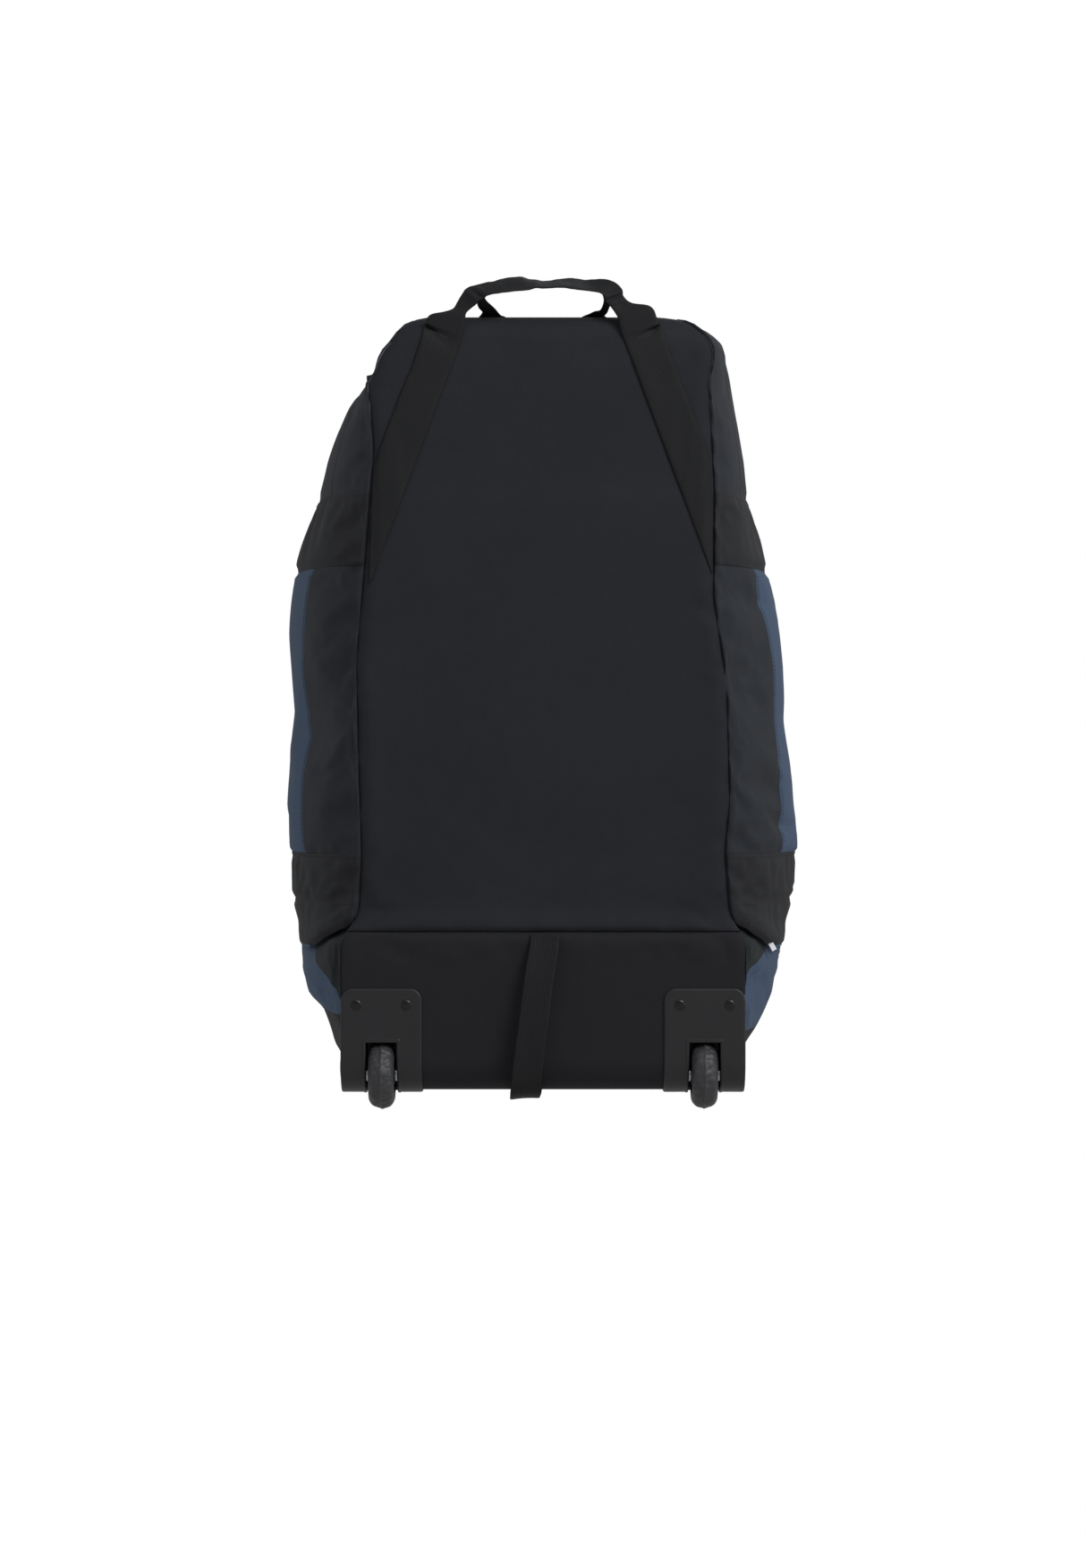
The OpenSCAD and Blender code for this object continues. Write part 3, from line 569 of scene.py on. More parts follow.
class Graph:
    """A material's node tree with short calls."""

    def __init__(self, name):
        self.material = bpy.data.materials.new(name)
        self.material.use_nodes = True
        self.tree = self.material.node_tree
        self.shader = self.tree.nodes["Principled BSDF"]

    def add(self, kind, **values):
        node = self.tree.nodes.new("ShaderNode" + kind)
        for key, value in values.items():
            if hasattr(node, key) and key not in node.inputs:
                setattr(node, key, value)
            else:
                node.inputs[key.replace("_", " ")].default_value = value
        return node

    def link(self, a, b):
        self.tree.links.new(a, b)

    def math(self, operation, a, b=None):
        node = self.tree.nodes.new("ShaderNodeMath")
        node.operation = operation
        for socket, value in zip(node.inputs, (a, b)):
            if isinstance(value, (int, float)):
                socket.default_value = value
            elif value is not None:
                self.link(value, socket)
        return node.outputs[0]

    def total(self, term, *more):
        """Sum of sockets times their weights, each given as a pair (socket, weight)."""
        part = term[0] if term[1] == 1 else self.math("MULTIPLY", *term)
        return self.math("ADD", part, self.total(*more)) if more else part

    def where(self, source="Object", scale=(1, 1, 1)):
        mapping = self.tree.nodes.new("ShaderNodeMapping")
        mapping.inputs["Scale"].default_value = scale
        if source == "cloth":
            uv = self.tree.nodes.new("ShaderNodeUVMap")
            uv.uv_map = "cloth"
            self.link(uv.outputs[0], mapping.inputs[0])
        else:
            coordinates = self.tree.nodes.new("ShaderNodeTexCoord")
            self.link(coordinates.outputs[source], mapping.inputs[0])
        return mapping.outputs[0]

    def noise(self, vector, scale, detail=3.0, roughness=0.5):
        node = self.add("TexNoise", Scale=scale, Detail=detail, Roughness=roughness)
        self.link(vector, node.inputs["Vector"])
        return node.outputs["Fac"]

    def wave(self, vector, direction, period, distortion=0.0):
        """Bands across one direction, one every period metres."""
        node = self.add("TexWave", Scale=2 * math.pi / 20 / period, Distortion=distortion)
        node.bands_direction = direction
        self.link(vector, node.inputs["Vector"])
        return node.outputs["Fac"]

    def between(self, fac, low, high):
        node = self.tree.nodes.new("ShaderNodeMapRange")
        node.inputs["To Min"].default_value = low
        node.inputs["To Max"].default_value = high
        self.link(fac, node.inputs["Value"])
        return node.outputs[0]

    def tint(self, fac, dark, light):
        node = self.tree.nodes.new("ShaderNodeValToRGB")
        node.color_ramp.elements[0].color = (*dark, 1)
        node.color_ramp.elements[1].color = (*light, 1)
        self.link(fac, node.inputs[0])
        return node.outputs[0]

    def bump(self, height, distance, strength=1.0, under=None):
        node = self.add("Bump", Distance=distance, Strength=strength)
        self.link(height, node.inputs["Height"])
        if under is not None:
            self.link(under, node.inputs["Normal"])
        return node.outputs[0]

    def finish(self, **values):
        for key, value in values.items():
            socket = self.shader.inputs[key.replace("_", " ")]
            if isinstance(value, bpy.types.NodeSocket):
                self.link(value, socket)
            else:
                socket.default_value = value
        return self.material


def shade(colour, k):
    return tuple(min(1, c * k) for c in colour)


def woven(name, colour, thread=0.9, spread=0.16, crumple=0.5, rough=(0.72, 0.86), specular=0.22,
          sheen=0.0):
    """Plain-woven cloth: crossed threads, slubs, faint mottling and soft crumples."""
    g = Graph(name)
    uv = g.where("cloth")
    warp = g.wave(uv, "X", thread * MM)
    weft = g.wave(uv, "Y", thread * MM)
    weave = g.math("MAXIMUM", warp, weft)
    slub = g.noise(g.where("cloth", (900, 60, 1)), 1.0, 2.0)
    place_of = g.where("Object")
    mottle = g.total((g.noise(place_of, 9, 4.0, 0.55), 0.65), (g.noise(place_of, 60, 3.0), 0.35))
    tone = g.total((mottle, 0.7), (slub, 0.15), (weave, 0.15))
    ramp = g.tint(tone, shade(colour, 1 - spread * 1.6), shade(colour, 1 + spread * 1.6))
    crumpled = g.bump(g.noise(place_of, 38, 4.0, 0.5), crumple * 2.2 * MM, 0.7)
    threads = g.bump(g.total((weave, 1), (slub, 0.5)), 0.16 * MM, 0.6, crumpled)
    return g.finish(Base_Color=ramp, Roughness=g.between(mottle, *rough), Normal=threads,
                    Specular_IOR_Level=specular, Sheen_Weight=sheen, Sheen_Roughness=0.5,
                    Sheen_Tint=(0.8, 0.85, 1.0, 1))


def strap_weave(name, colour):
    """Nylon webbing: fine ribs across it, herringbone rows along it, a smooth selvedge."""
    g = Graph(name)
    uv = g.where("cloth")
    rows_along = g.wave(uv, "X", 3.2 * MM)
    ribs = g.wave(uv, "DIAGONAL", 1.1 * MM)
    cross = g.wave(uv, "Y", 1.3 * MM)
    height = g.total((rows_along, 0.6), (ribs, 0.25), (cross, 0.35))
    worn = g.noise(g.where("Object"), 35, 4.0)
    tone = g.total((height, 0.35), (worn, 0.6))
    return g.finish(Base_Color=g.tint(tone, shade(colour, 0.7), shade(colour, 1.35)),
                    Roughness=g.between(worn, 0.6, 0.8), Normal=g.bump(height, 0.22 * MM, 0.7),
                    Specular_IOR_Level=0.25, Sheen_Weight=0.0)


def moulded(name, colour, rough=(0.42, 0.58), grain=0.05, grain_size=1400, specular=0.4, scuff=0.25):
    """Moulded plastic with a fine spark-eroded grain and light handling marks."""
    g = Graph(name)
    where = g.where("Object")
    grit = g.noise(where, grain_size, 2.0)
    marks = g.noise(where, 45, 5.0, 0.6)
    long_marks = g.noise(g.where("Object", (60, 60, 9)), 4.0, 5.0, 0.65)
    tone = g.total((marks, 0.6), (long_marks, 0.4))
    return g.finish(Base_Color=g.tint(tone, shade(colour, 1 - scuff), shade(colour, 1 + scuff)),
                    Roughness=g.between(tone, *rough), Specular_IOR_Level=specular,
                    Normal=g.bump(g.total((grit, 1), (marks, 0.4)), grain * MM, 0.5))


def metal(name, colour, rough=(0.22, 0.4)):
    """Plated steel with turning marks and a little tarnish."""
    g = Graph(name)
    marks = g.noise(g.where("Object", (40, 900, 900)), 1.0, 3.0)
    cloud = g.noise(g.where("Object"), 160, 4.0)
    tone = g.total((marks, 0.4), (cloud, 0.6))
    return g.finish(Base_Color=g.tint(tone, shade(colour, 0.75), shade(colour, 1.15)), Metallic=1.0,
                    Roughness=g.between(cloud, *rough), Normal=g.bump(marks, 0.03 * MM, 0.4))


def crinkled_rubber(name, colour):
    """Tyre with dry, crinkled skin and random dust; its colour darkens along the crinkle grooves as
    painted shade.
    """
    g = Graph(name)
    where = g.where("Object")
    cell = g.add("TexVoronoi", Scale=170.0, feature="DISTANCE_TO_EDGE")
    g.link(where, cell.inputs["Vector"])
    crinkles_and_shade = g.math("MINIMUM", cell.outputs["Distance"], 0.12)
    dust = g.noise(where, 120, 5.0, 0.6)
    # the crinkle pattern gives the bump's grooves and also painted shade along them; dust is random tone
    tone = g.total((dust, 0.8), (crinkles_and_shade, 1.2))
    return g.finish(Base_Color=g.tint(tone, shade(colour, 0.55), shade(colour, 1.5)),
                    Roughness=g.between(dust, 0.38, 0.62), Specular_IOR_Level=0.45,
                    Normal=g.bump(g.total((crinkles_and_shade, 1), (dust, 0.2)), 0.35 * MM, 0.4))


material = {
    "base_cloth": woven("base_cloth", (0.0131, 0.0139, 0.0174), spread=0.42),
    "box_cloth": woven("box_cloth", (0.0115, 0.0115, 0.0142), thread=1.1, crumple=0.2),
    "strip_cloth": woven("strip_cloth", (0.0165, 0.0190, 0.0240), crumple=0.9),
    # a darker copy of the strip cloth for the gussets that lie back under the fold: painted shade
    "shaded_strip_cloth": woven("shaded_strip_cloth", (0.0125, 0.0155, 0.0170), crumple=0.7),
    "main_cloth": woven("main_cloth", (0.043, 0.068, 0.115), crumple=0.9, spread=0.12),
    "band_cloth": woven("band_cloth", (0.0150, 0.0152, 0.0170), thread=1.2, crumple=0.6),
    "lining": woven("lining", (0.10, 0.105, 0.115), thread=0.6, crumple=1.0, specular=0.3),
    "webbing": strap_weave("webbing", (0.0066, 0.0068, 0.0080)),
    "zip_tape": strap_weave("zip_tape", (0.010, 0.010, 0.011)),
    "board": moulded("board", (0.32, 0.33, 0.34), rough=(0.5, 0.7)),
    "housing_plastic": moulded("housing_plastic", (0.0130, 0.0130, 0.0145), rough=(0.34, 0.5)),
    "foot_plastic": moulded("foot_plastic", (0.016, 0.016, 0.017)),
    "hub_plastic": moulded("hub_plastic", (0.035, 0.035, 0.038), grain=0.02),
    "tyre": crinkled_rubber("tyre", (0.030, 0.030, 0.033)),
    "rivet_paint": moulded("rivet_paint", (0.0035, 0.0035, 0.0042), rough=(0.22, 0.34), grain=0.02),
    "steel": metal("steel", (0.62, 0.66, 0.68)),
    "zip_teeth": moulded("zip_teeth", (0.010, 0.010, 0.011), rough=(0.3, 0.45), grain=0.01),
    "zip_metal": metal("zip_metal", (0.20, 0.21, 0.22), rough=(0.3, 0.5)),
    "label_cloth": woven("label_cloth", (0.72, 0.73, 0.76), thread=0.5, spread=0.06, crumple=0.2),
    "thread": strap_weave("thread", (0.020, 0.020, 0.023)),
}
LINED = lambda name: [material[name], material["lining"]]

sag = settle()

# ---- Sewn shell ----


def wear(piece, body, slot, *nodes):
    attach(piece, body)
    if nodes:
        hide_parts(*nodes)
    return piece


def sewn(piece, slot, size, *nodes):
    """A panel of the bag itself; size, the size it was cut to, is not used."""
    wear(piece, "bag", slot, *nodes)


def bend(piece, body, start, end, slot, *nodes):
    """Bakes a piece's transform into its mesh and hides the CAD nodes it replaces; body, start and end are
    not used.
    """
    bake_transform(piece)
    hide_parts(*nodes)


base = panel("base_cloth", LINED("base_cloth"), 0.0, 1.0, BOX_HIGH + 0.2, BODY_HIGH, 5.0, BASE_SPAN,
             turn=(1, 1, 1, 0))
sewn(base, "base_cloth", (380, 640), "base_panel")


def open_slots(c, v):
    """Keeps the wheel box cloth clear of the two wheel slots."""
    x = plain_skin(c, v)[..., 0]
    return ~((np.abs(np.abs(x) - WHEEL_X) < SLOT_HALF + 3.5) & (v < SLOT_TOP + 3))


box_half = 197
slot_edges = [(s * WHEEL_X + k * (SLOT_HALF + 3.5)) / box_half for s in (-1, 1) for k in (-1, 1)]
box_columns = np.unique(np.concatenate([ticks(BASE_SPAN, 8), [(e + 1) / 2 for e in slot_edges]]))
box_rows = np.unique(np.concatenate([ticks(BOX_HIGH - BODY_LOW, 5, False, True),
                                     [(SLOT_TOP + 3 - BODY_LOW) / (BOX_HIGH - BODY_LOW)]]))
box = panel("box_cloth", LINED("box_cloth"), 0.0, 1.0, BODY_LOW, BOX_HIGH - 0.2, cs=box_columns,
            vs=box_rows, span=BASE_SPAN, turn=(1, 1, 0, 1), keep=open_slots)
sewn(box, "box_cloth", (400, 175), "wheel_box_cover")

BOOT = {-1: 93, 1: 78}              # height of the black cloth round the wheel end's corners
GUSSET_END = {-1: 106, 1: 133}      # where the gusset's point meets the wheel box seam


def split_q(side, v):
    """Where the dark cloth beside the base meets the blue side, which narrows under the fold."""
    low = GUSSET_END[side]
    narrow = 0.02 + (STRIP_Q - 0.02) * smooth((v - low) / (158 - low)) ** 0.8
    wide = [(158, 0), (323, 18), (400, 28), (440, 22), (480, 4), (520, -12), (537, -16)]
    tall = [(158, 0), (315, 24), (400, 30), (440, 24), (480, 8), (520, -6), (537, -8)]
    sway = lookup(v, wide if side < 0 else tall) / 1000 + 0.004 * lumps(v / 40, 0.5, 11 + side)
    return np.where(v < 158, narrow, STRIP_Q + sway)


def side_c(side, q):
    return 1 + q if side > 0 else 4 - q


def overhang(c, v):
    """The full side bulges over its fold."""
    q = side_q(c)
    d = v - fold_height(q)
    return fold_share(q) * (2.0 * hump(d, 11, 9) - 3.5 * smooth(1 - d / 4) * (d < 4))


def tucked(c, v):
    """The gusset lies well back under the fold and comes out again lower down."""
    q = side_q(c)
    d = fold_height(q) - v
    back = -9.0 * np.exp(-np.clip(d, 0, 999) / 15) * fold_share(q)
    creases = 1.2 * lumps(v / 11, q * 11, 21) * np.exp(-np.abs(d - 20) / 25)
    return back + creases * smooth((q - 0.01) / 0.05)


def side_piece(name, side, q0, q1, v0, v1, step, materials, slot, size, **shape):
    """A panel on one side between two shares of the way round it, which may be functions of v."""
    ends = [(lambda v, q=q: side_c(side, q(v))) if callable(q) else side_c(side, q) for q in (q0, q1)]
    tag = dict(SIDES)[side]
    piece = panel(name + "_" + tag, materials, *(ends if side > 0 else ends[::-1]), v0, v1, step, **shape)
    sewn(piece, slot, size, SIDE_NODES[name] + "_" + tag)


SIDE_NODES = {
    "strip": "side_strip", "gusset": "corner_gusset", "side_low": "side_panel", "side": "side_panel",
    "side_top": "side_panel", "band_high": "side_bands", "band_low": "side_bands",
}
OPEN_ENDS = (1, 1, 0, 0)            # only the two upright edges turn under
for side in (-1, 1):
    split_of = lambda v, s=side: split_q(s, v)
    fold = lambda c: fold_height(side_q(c))
    side_piece("strip", side, 0.004, lambda v: split_of(v) + 0.004, lambda c: fold(c) + 4, BODY_HIGH, 5.0,
               LINED("strip_cloth"), "strip_cloth", (125, 640), extra=overhang, turn=OPEN_ENDS)
    # the gussets are strip cloth, given the darker copy as painted shade under the fold
    side_piece("gusset", side, 0.004, lambda v: split_of(np.minimum(v, 157)) + 0.006, GUSSET_END[side],
               lambda c: fold(c) + 5, 4.0, LINED("shaded_strip_cloth"), "strip_cloth", (85, 80),
               extra=tucked, turn=OPEN_ENDS)
    side_piece("side_low", side, lambda v: split_of(v) + 0.001, 1.0, BODY_LOW, 159, 5.0,
               [material["main_cloth"], material["box_cloth"], material["lining"]], "main_cloth",
               (340, 170), extra=tucked, turn=OPEN_ENDS,
               split=lambda c, v: (v < BOOT[side]) & (side_q(c) < 0.6))
    side_piece("side", side, lambda v: split_of(v) + 0.001, 1.0, 157, BANDS[1][1] - 20, 5.0,
               LINED("main_cloth"), "main_cloth", (270, 440), turn=OPEN_ENDS)
    side_piece("side_top", side, lambda v: split_of(v) + 0.001, 1.0, BANDS[1][1] - 19, BODY_HIGH, 5.0,
               LINED("strip_cloth"), "strip_cloth", (270, 210), turn=OPEN_ENDS)
    side_piece("band_high", side, 0.012, 0.992, *BANDS[1], 5.0, [material["band_cloth"]], "band_cloth",
               (345, 73), lift=1.5, thick=1.2)
    side_piece("band_low", side, 0.012, 0.992, lambda c: fold(c) - 0.5, BANDS[0][1], 4.0,
               [material["band_cloth"]], "band_cloth", (350, 95), lift=1.5, thick=1.4, extra=overhang)


def behind_gussets(c, v):
    """The lining keeps well inside the sunken gussets."""
    return -12 * smooth((212 - v) / 14) * smooth(side_q(c) / 0.01)


lining = panel("lining_shell", [material["lining"]], -0.975, 1.975, 130, BODY_HIGH, 9.0, SIDE_SPAN,
               lift=-4.2, thick=0.7, turn=(0, 0, 0, 0), extra=behind_gussets)
sewn(lining, "lining", (1050, 660), "side_panel_left", "side_panel_right")

# ---- Front and lid ----

DARK_FROM = BANDS[1][1]      # above the high band all the cloth is dark


def front_point(x, z, t=0.0, extra=0.0):
    return skin(front_c(x, z), z, t, extra)


def lid_line(k, arc=10, straight=26, start=-FLAT_HALF + 1):
    """Points (x, z) of the zip line grown by k: along its lower side from the hinge side, up and back."""
    r = LID_CORNER + k
    half, low, high = LID_HALF + k, LID_LOW - k, LID_HIGH + k
    turn = [np.array([math.sin(a), -math.cos(a)]) * r for a in np.linspace(0, math.pi / 2, arc + 1)]
    lower = np.array([half - r, low + r])
    upper = np.array([half - r, high - r])
    first = np.stack([np.linspace(start, half - r, straight, endpoint=False),
                      np.full(straight, low)], -1)
    rise = np.stack([np.full(2 * straight, half),
                     np.linspace(low + r, high - r, 2 * straight + 1, endpoint=False)[1:]], -1)
    bend = lower + np.array(turn)
    top = upper + np.array([(t[0], -t[1]) for t in turn[::-1]])
    last = np.stack([np.linspace(half - r, start, straight + 1)[1:], np.full(straight, high)], -1)
    return np.concatenate([first, bend, rise, top, last])


def across_front(name, inner_line, outer_line, materials, lift, thick, steps, fold=1.5, split=None):
    """A strip of cloth between two lines on the front."""
    s = np.array(steps)[:, None, None]
    flat = inner_line[None] * (1 - s) + outer_line[None] * s
    x, z = flat[..., 0], flat[..., 1]
    edge = np.zeros_like(x)
    edge[0] += fold
    edge[-1] += fold
    outer = front_point(x, z, edge - lift)
    inner = front_point(x, z, thick + edge * 0.2 - lift)
    cells = None if split is None else split(z[:-1, :-1])
    return slab(name, outer, inner, flat, materials, split=cells)


def frame_line():
    """Outer edge of the front frame, matched point by point to the zip line."""
    ring = lid_line(12)
    edge_x = FLAT_HALF - 0.6
    pivot_x, low, high = LID_HALF - LID_CORNER, LID_LOW + LID_CORNER, LID_HIGH - LID_CORNER
    out = []
    for x, z in ring:
        if x <= pivot_x + 0.01 and (z < low or z > high):
            out.append((x, FRAME_LOW if z < low else FRAME_HIGH))
        elif low <= z <= high:
            out.append((edge_x, z))
        else:
            centre = low if z < low else high
            stop = FRAME_LOW if z < low else FRAME_HIGH
            dx, dz = x - pivot_x, z - centre
            k = min((edge_x - pivot_x) / max(dx, 1e-6), abs(stop - centre) / max(abs(dz), 1e-6))
            out.append((pivot_x + dx * k, centre + dz * k))
    out = np.array(out)
    for corner in ((edge_x, FRAME_LOW), (edge_x, FRAME_HIGH)):
        out[np.argmin(np.hypot(*(out - corner).T))] = corner
    return out


def frame_colour(z):
    """Dark above the high band, and where the side bands meet the lid's bands."""
    line = z[0]
    dark = line > DARK_FROM - 20
    for band_low, band_high in BANDS:
        dark = dark | (line > band_low - 4) & (line < band_high - 4)
    return np.broadcast_to(dark, z.shape)


front_steps = (0, 0.04, 0.12, 0.3, 0.5, 0.7, 0.88, 0.96, 1)
rim = across_front("front_frame_cloth", lid_line(11), frame_line(),
                   [material["main_cloth"], material["strip_cloth"], material["lining"]], 0.0, CLOTH_T,
                   front_steps, split=frame_colour)
sewn(rim, "main_cloth", (13, 1400), "front_frame")

tape = across_front("zip_tape_cloth", lid_line(2.6), lid_line(12.5), [material["zip_tape"]], -1.0, 0.7,
                    (0, 0.1, 0.5, 0.9, 1), fold=0.1)
wear(tape, "bag", "zip_tape", "zip_tape_body")


def crown(x, z):
    """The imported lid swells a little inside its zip."""
    a = smooth((z - LID_LOW) / 70) * smooth((LID_HIGH - z) / 70)
    b = smooth((LID_HALF - x) / 60) * smooth((x - HINGE_X + 10) / 60)
    return 5.0 * a * b


def lid_sheet(name, k, lift, thick, materials, x_low, bands=None, step=6.0, swell=1.0):
    """Cloth inside the zip line shrunk by k, from x_low across the hinge."""
    half, low, high, r = LID_HALF - k, LID_LOW + k, LID_HIGH - k, LID_CORNER - k
    zs = bands if bands else (low, high)
    height = zs[1] - zs[0]
    b = ticks(height, step)
    a = ticks(2 * half, step)
    aa, bb = np.meshgrid(a, b)
    z = zs[0] + bb * height
    off = np.maximum(np.maximum(low + r - z, z - high + r), 0)
    x_high = half - r + np.sqrt(np.maximum(r * r - off * off, 0))
    x = x_low + aa * (x_high - x_low)
    under = np.maximum(turned(aa, 2 * half), turned(bb, height))
    more = crown(x, z) * swell
    outer = front_point(x, z, under - lift, more)
    inner = front_point(x, z, np.maximum(thick, under + 0.4) - lift, more)
    split = np.where(z[:-1, :-1] > DARK_FROM, 1, 0) if len(materials) > 2 else None
    return slab(name, outer, inner, np.stack([x, z], -1), materials, split=split)


HINGE_BEND = (-153, -139)


def hinge_bend(piece, slot, *nodes):
    """Hands the lid's cloth to bend(), which bakes it in place; the line along its sewn edge is not used.
    """
    start, end = ((x, FRONT_DEPTH, (LID_LOW + LID_HIGH) / 2) for x in HINGE_BEND)
    bend(piece, "lid", start, end, slot, *nodes)


lid = lid_sheet("lid_cloth", 3.2, 0.2, CLOTH_T,
                [material["main_cloth"], material["strip_cloth"], material["lining"]], -FLAT_HALF + 0.6)
hinge_bend(lid, "main_cloth", "lid_panel", "hinge_strip")
for number, (low, high) in enumerate(BANDS):
    band = lid_sheet("lid_band_%d" % (number + 1), 6.5, 1.7, 1.2, [material["band_cloth"]],
                     -FLAT_HALF + 1.2, bands=(low, high))
    hinge_bend(band, "band_cloth", "lid_bands")

for name, v0, v1, turn, cloth, length in (
        ("front_low", BODY_LOW, FRAME_LOW - 0.2, (1, 1, 0, 1), "main_cloth", 80),
        ("front_top", FRAME_HIGH + 0.2, BODY_HIGH, (1, 1, 1, 0), "strip_cloth", 190)):
    piece = panel(name, LINED(cloth), 2.0, 3.0, v0, v1, 5.0, FRONT_SPAN, turn=turn)
    sewn(piece, cloth, (335, length), "front_bottom_panel" if name == "front_low" else "front_top_panel")


# ---- Ends ----


def end_outline(height, n=176):
    c = np.arange(n) * 4 / n
    v = np.full(n, float(height))
    return plain_skin(c, v) + settled(c, v)


def end_cloth(name, v, mat, rise, down, thick=CLOTH_T):
    """The flat cloth of an end, in rings towards its middle."""
    line = end_outline(v)
    centre = line.mean(0)
    rings = [1.0, 0.996, 0.985, 0.96] + list(np.linspace(0.92, 0.04, 22))
    outer, inner, uv = [], [], []
    for k, s in enumerate(rings):
        p = centre + (line - centre) * s
        flatness = smooth((1 - s) / 0.12)
        wave_of = 1.1 * lumps(p[:, 0] / 42, p[:, 1] / 42, 31) * flatness
        level = line[:, 2].mean()
        p[:, 2] = line[:, 2] * (1 - flatness) + flatness * (level + rise) + down * np.abs(wave_of)
        p[:, 2] += down * (1.3 if k == 0 else 0.5 if k == 1 else 0)
        q = p.copy()
        q[:, 2] += down * thick
        outer.append(p)
        inner.append(q)
        uv.append(p[:, :2])
    wrap = lambda g: np.concatenate([np.array(g), np.array(g)[:, :1]], 1)
    return slab(name, wrap(outer), wrap(inner), wrap(uv), LINED(mat))


top = end_cloth("end_cloth_top", BODY_HIGH - 0.01, "strip_cloth", -0.6, -1)
sewn(top, "strip_cloth", (300, 200), "end_panel_top")


def floor_cloth():
    """The stiff cloth of the wheel end, with room for the two wheel wells."""
    line = end_outline(BODY_LOW, 240)
    low_y, high_y = line[:, 1].min() + 0.4, line[:, 1].max() - 0.4
    rows_y = np.unique(np.concatenate([np.linspace(low_y, high_y, 36), [55.0]]))
    left, right = (part[np.argsort(part[:, 1])] for part in (line[line[:, 0] < 0], line[line[:, 0] > 0]))
    half = [0, 30, 60, 90, 120, WHEEL_X - SLOT_HALF - 3, 150, 168, WHEEL_X + SLOT_HALF + 3, 190, 196]
    xs = np.array([-h for h in half[:0:-1]] + half, float)
    outer = np.zeros((len(rows_y), len(xs), 3))
    for i, y in enumerate(rows_y):
        wide = np.interp(y, right[:, 1], right[:, 0])
        narrow = np.interp(y, left[:, 1], left[:, 0])
        share = smooth((y - 58) / 30)
        even = np.where(xs > 0, xs / 196 * wide, -xs / 196 * narrow)
        exact = xs.copy()
        exact[0], exact[-1] = narrow, wide
        outer[i, :, 0] = exact * (1 - share) + even * share
        outer[i, :, 1] = y
        outer[i, :, 2] = BODY_LOW + 0.1
    inner = outer + [0, 0, CLOTH_T]
    keep = np.ones((len(rows_y) - 1, len(xs) - 1), bool)
    mid_x = (outer[:-1, :-1, 0] + outer[1:, 1:, 0]) / 2
    mid_y = (outer[:-1, :-1, 1] + outer[1:, 1:, 1]) / 2
    keep &= ~((mid_y < 55) & (np.abs(np.abs(mid_x) - WHEEL_X) < SLOT_HALF + 3))
    return slab("end_cloth_low", outer, inner, outer[..., :2], LINED("box_cloth"), keep)


low_end = floor_cloth()
sewn(low_end, "box_cloth", (390, 240), "end_panel_bottom")


# ---- Stitching ----


stitches = []


def sew(c_of, v_of, length, lift, pitch=4.0):
    """Adds the stitches, as centres and directions, of a line of the skin; c_of and v_of take 0 to 1."""
    n = max(2, round(length / pitch))
    s = (np.arange(n) + 0.5) / n
    c, v = c_of(s), v_of(s)
    extra = overhang(c, v) if lift > 1 else 0 * s
    p = skin(c, v, -lift, extra)
    q = skin(c_of(s + 0.2 / n), v_of(s + 0.2 / n), -lift, extra)
    r = skin(c, v, -lift - 1, extra)
    stitches.append((p, unit(q - p), unit(r - p)))


for side in (-1, 1):
    sweep = lambda s, k=side: side_c(k, 0.018 + 0.965 * s)
    for v in (BANDS[1][0] + 3.5, BANDS[1][1] - 3.5, BANDS[0][1] - 3.5, BANDS[0][0] + 1):
        sew(sweep, lambda s, h=v: np.full(np.shape(s), float(h)), SIDE_SPAN, 1.5)
    sew(lambda s, k=side: side_c(k, split_q(k, 262 + 268 * s) + 0.010),
        lambda s: 262 + 268 * s, 268, 0.0)
points, along, out = (np.concatenate(k) for k in zip(*stitches))
thread = small_boxes("stitching", points, along, np.cross(out, along), out, (2.9, 0.75, 0.35),
                     material["thread"])
wear(thread, "bag", "band_cloth")


# ---- Zip ----


def spaced(line, pitch):
    """Points every pitch along a line of (x, z), with their directions."""
    d = np.linalg.norm(np.diff(line, axis=0), axis=1)
    s = np.concatenate([[0], np.cumsum(d)])
    at = np.arange(pitch / 2, s[-1], pitch)
    point = np.stack([np.interp(at, s, line[:, k]) for k in (0, 1)], -1)
    step = np.stack([np.interp(at + 0.1, s, line[:, k]) for k in (0, 1)], -1) - point
    return point, step / np.linalg.norm(step, axis=1, keepdims=True)


def zip_teeth(name, k, shift, start, pitch=2.4):
    """One half of the zip chain, k millimetres outside the zip line."""
    line = lid_line(k, arc=20, start=start)
    point, step = spaced(np.concatenate([line[:1] - [shift, 0], line[1:]]), pitch)
    p = front_point(point[:, 0], point[:, 1], -0.1)
    q = front_point(point[:, 0] + step[:, 0], point[:, 1] + step[:, 1], -0.1)
    r = front_point(point[:, 0], point[:, 1], -1.1)
    along, out = unit(q - p), unit(r - p)
    return small_boxes(name, p, along, np.cross(out, along), out, (1.5, 3.2, 1.5), material["zip_teeth"])


teeth = zip_teeth("zip_teeth_body", 1.3, 0.0, CHAIN_END)
wear(teeth, "bag", "zip_teeth", "zip_chain_body")
lid_teeth = zip_teeth("zip_teeth_lid", -1.3, -1.2, HINGE_X + 8)
hinge_bend(lid_teeth, "zip_teeth", "zip_chain_lid")


# ---- Webbing ----

strap_low = {-1: (-178, 552), 1: (178, 552)}
strap_high = {-1: (-97, 768), 1: (97, 768)}
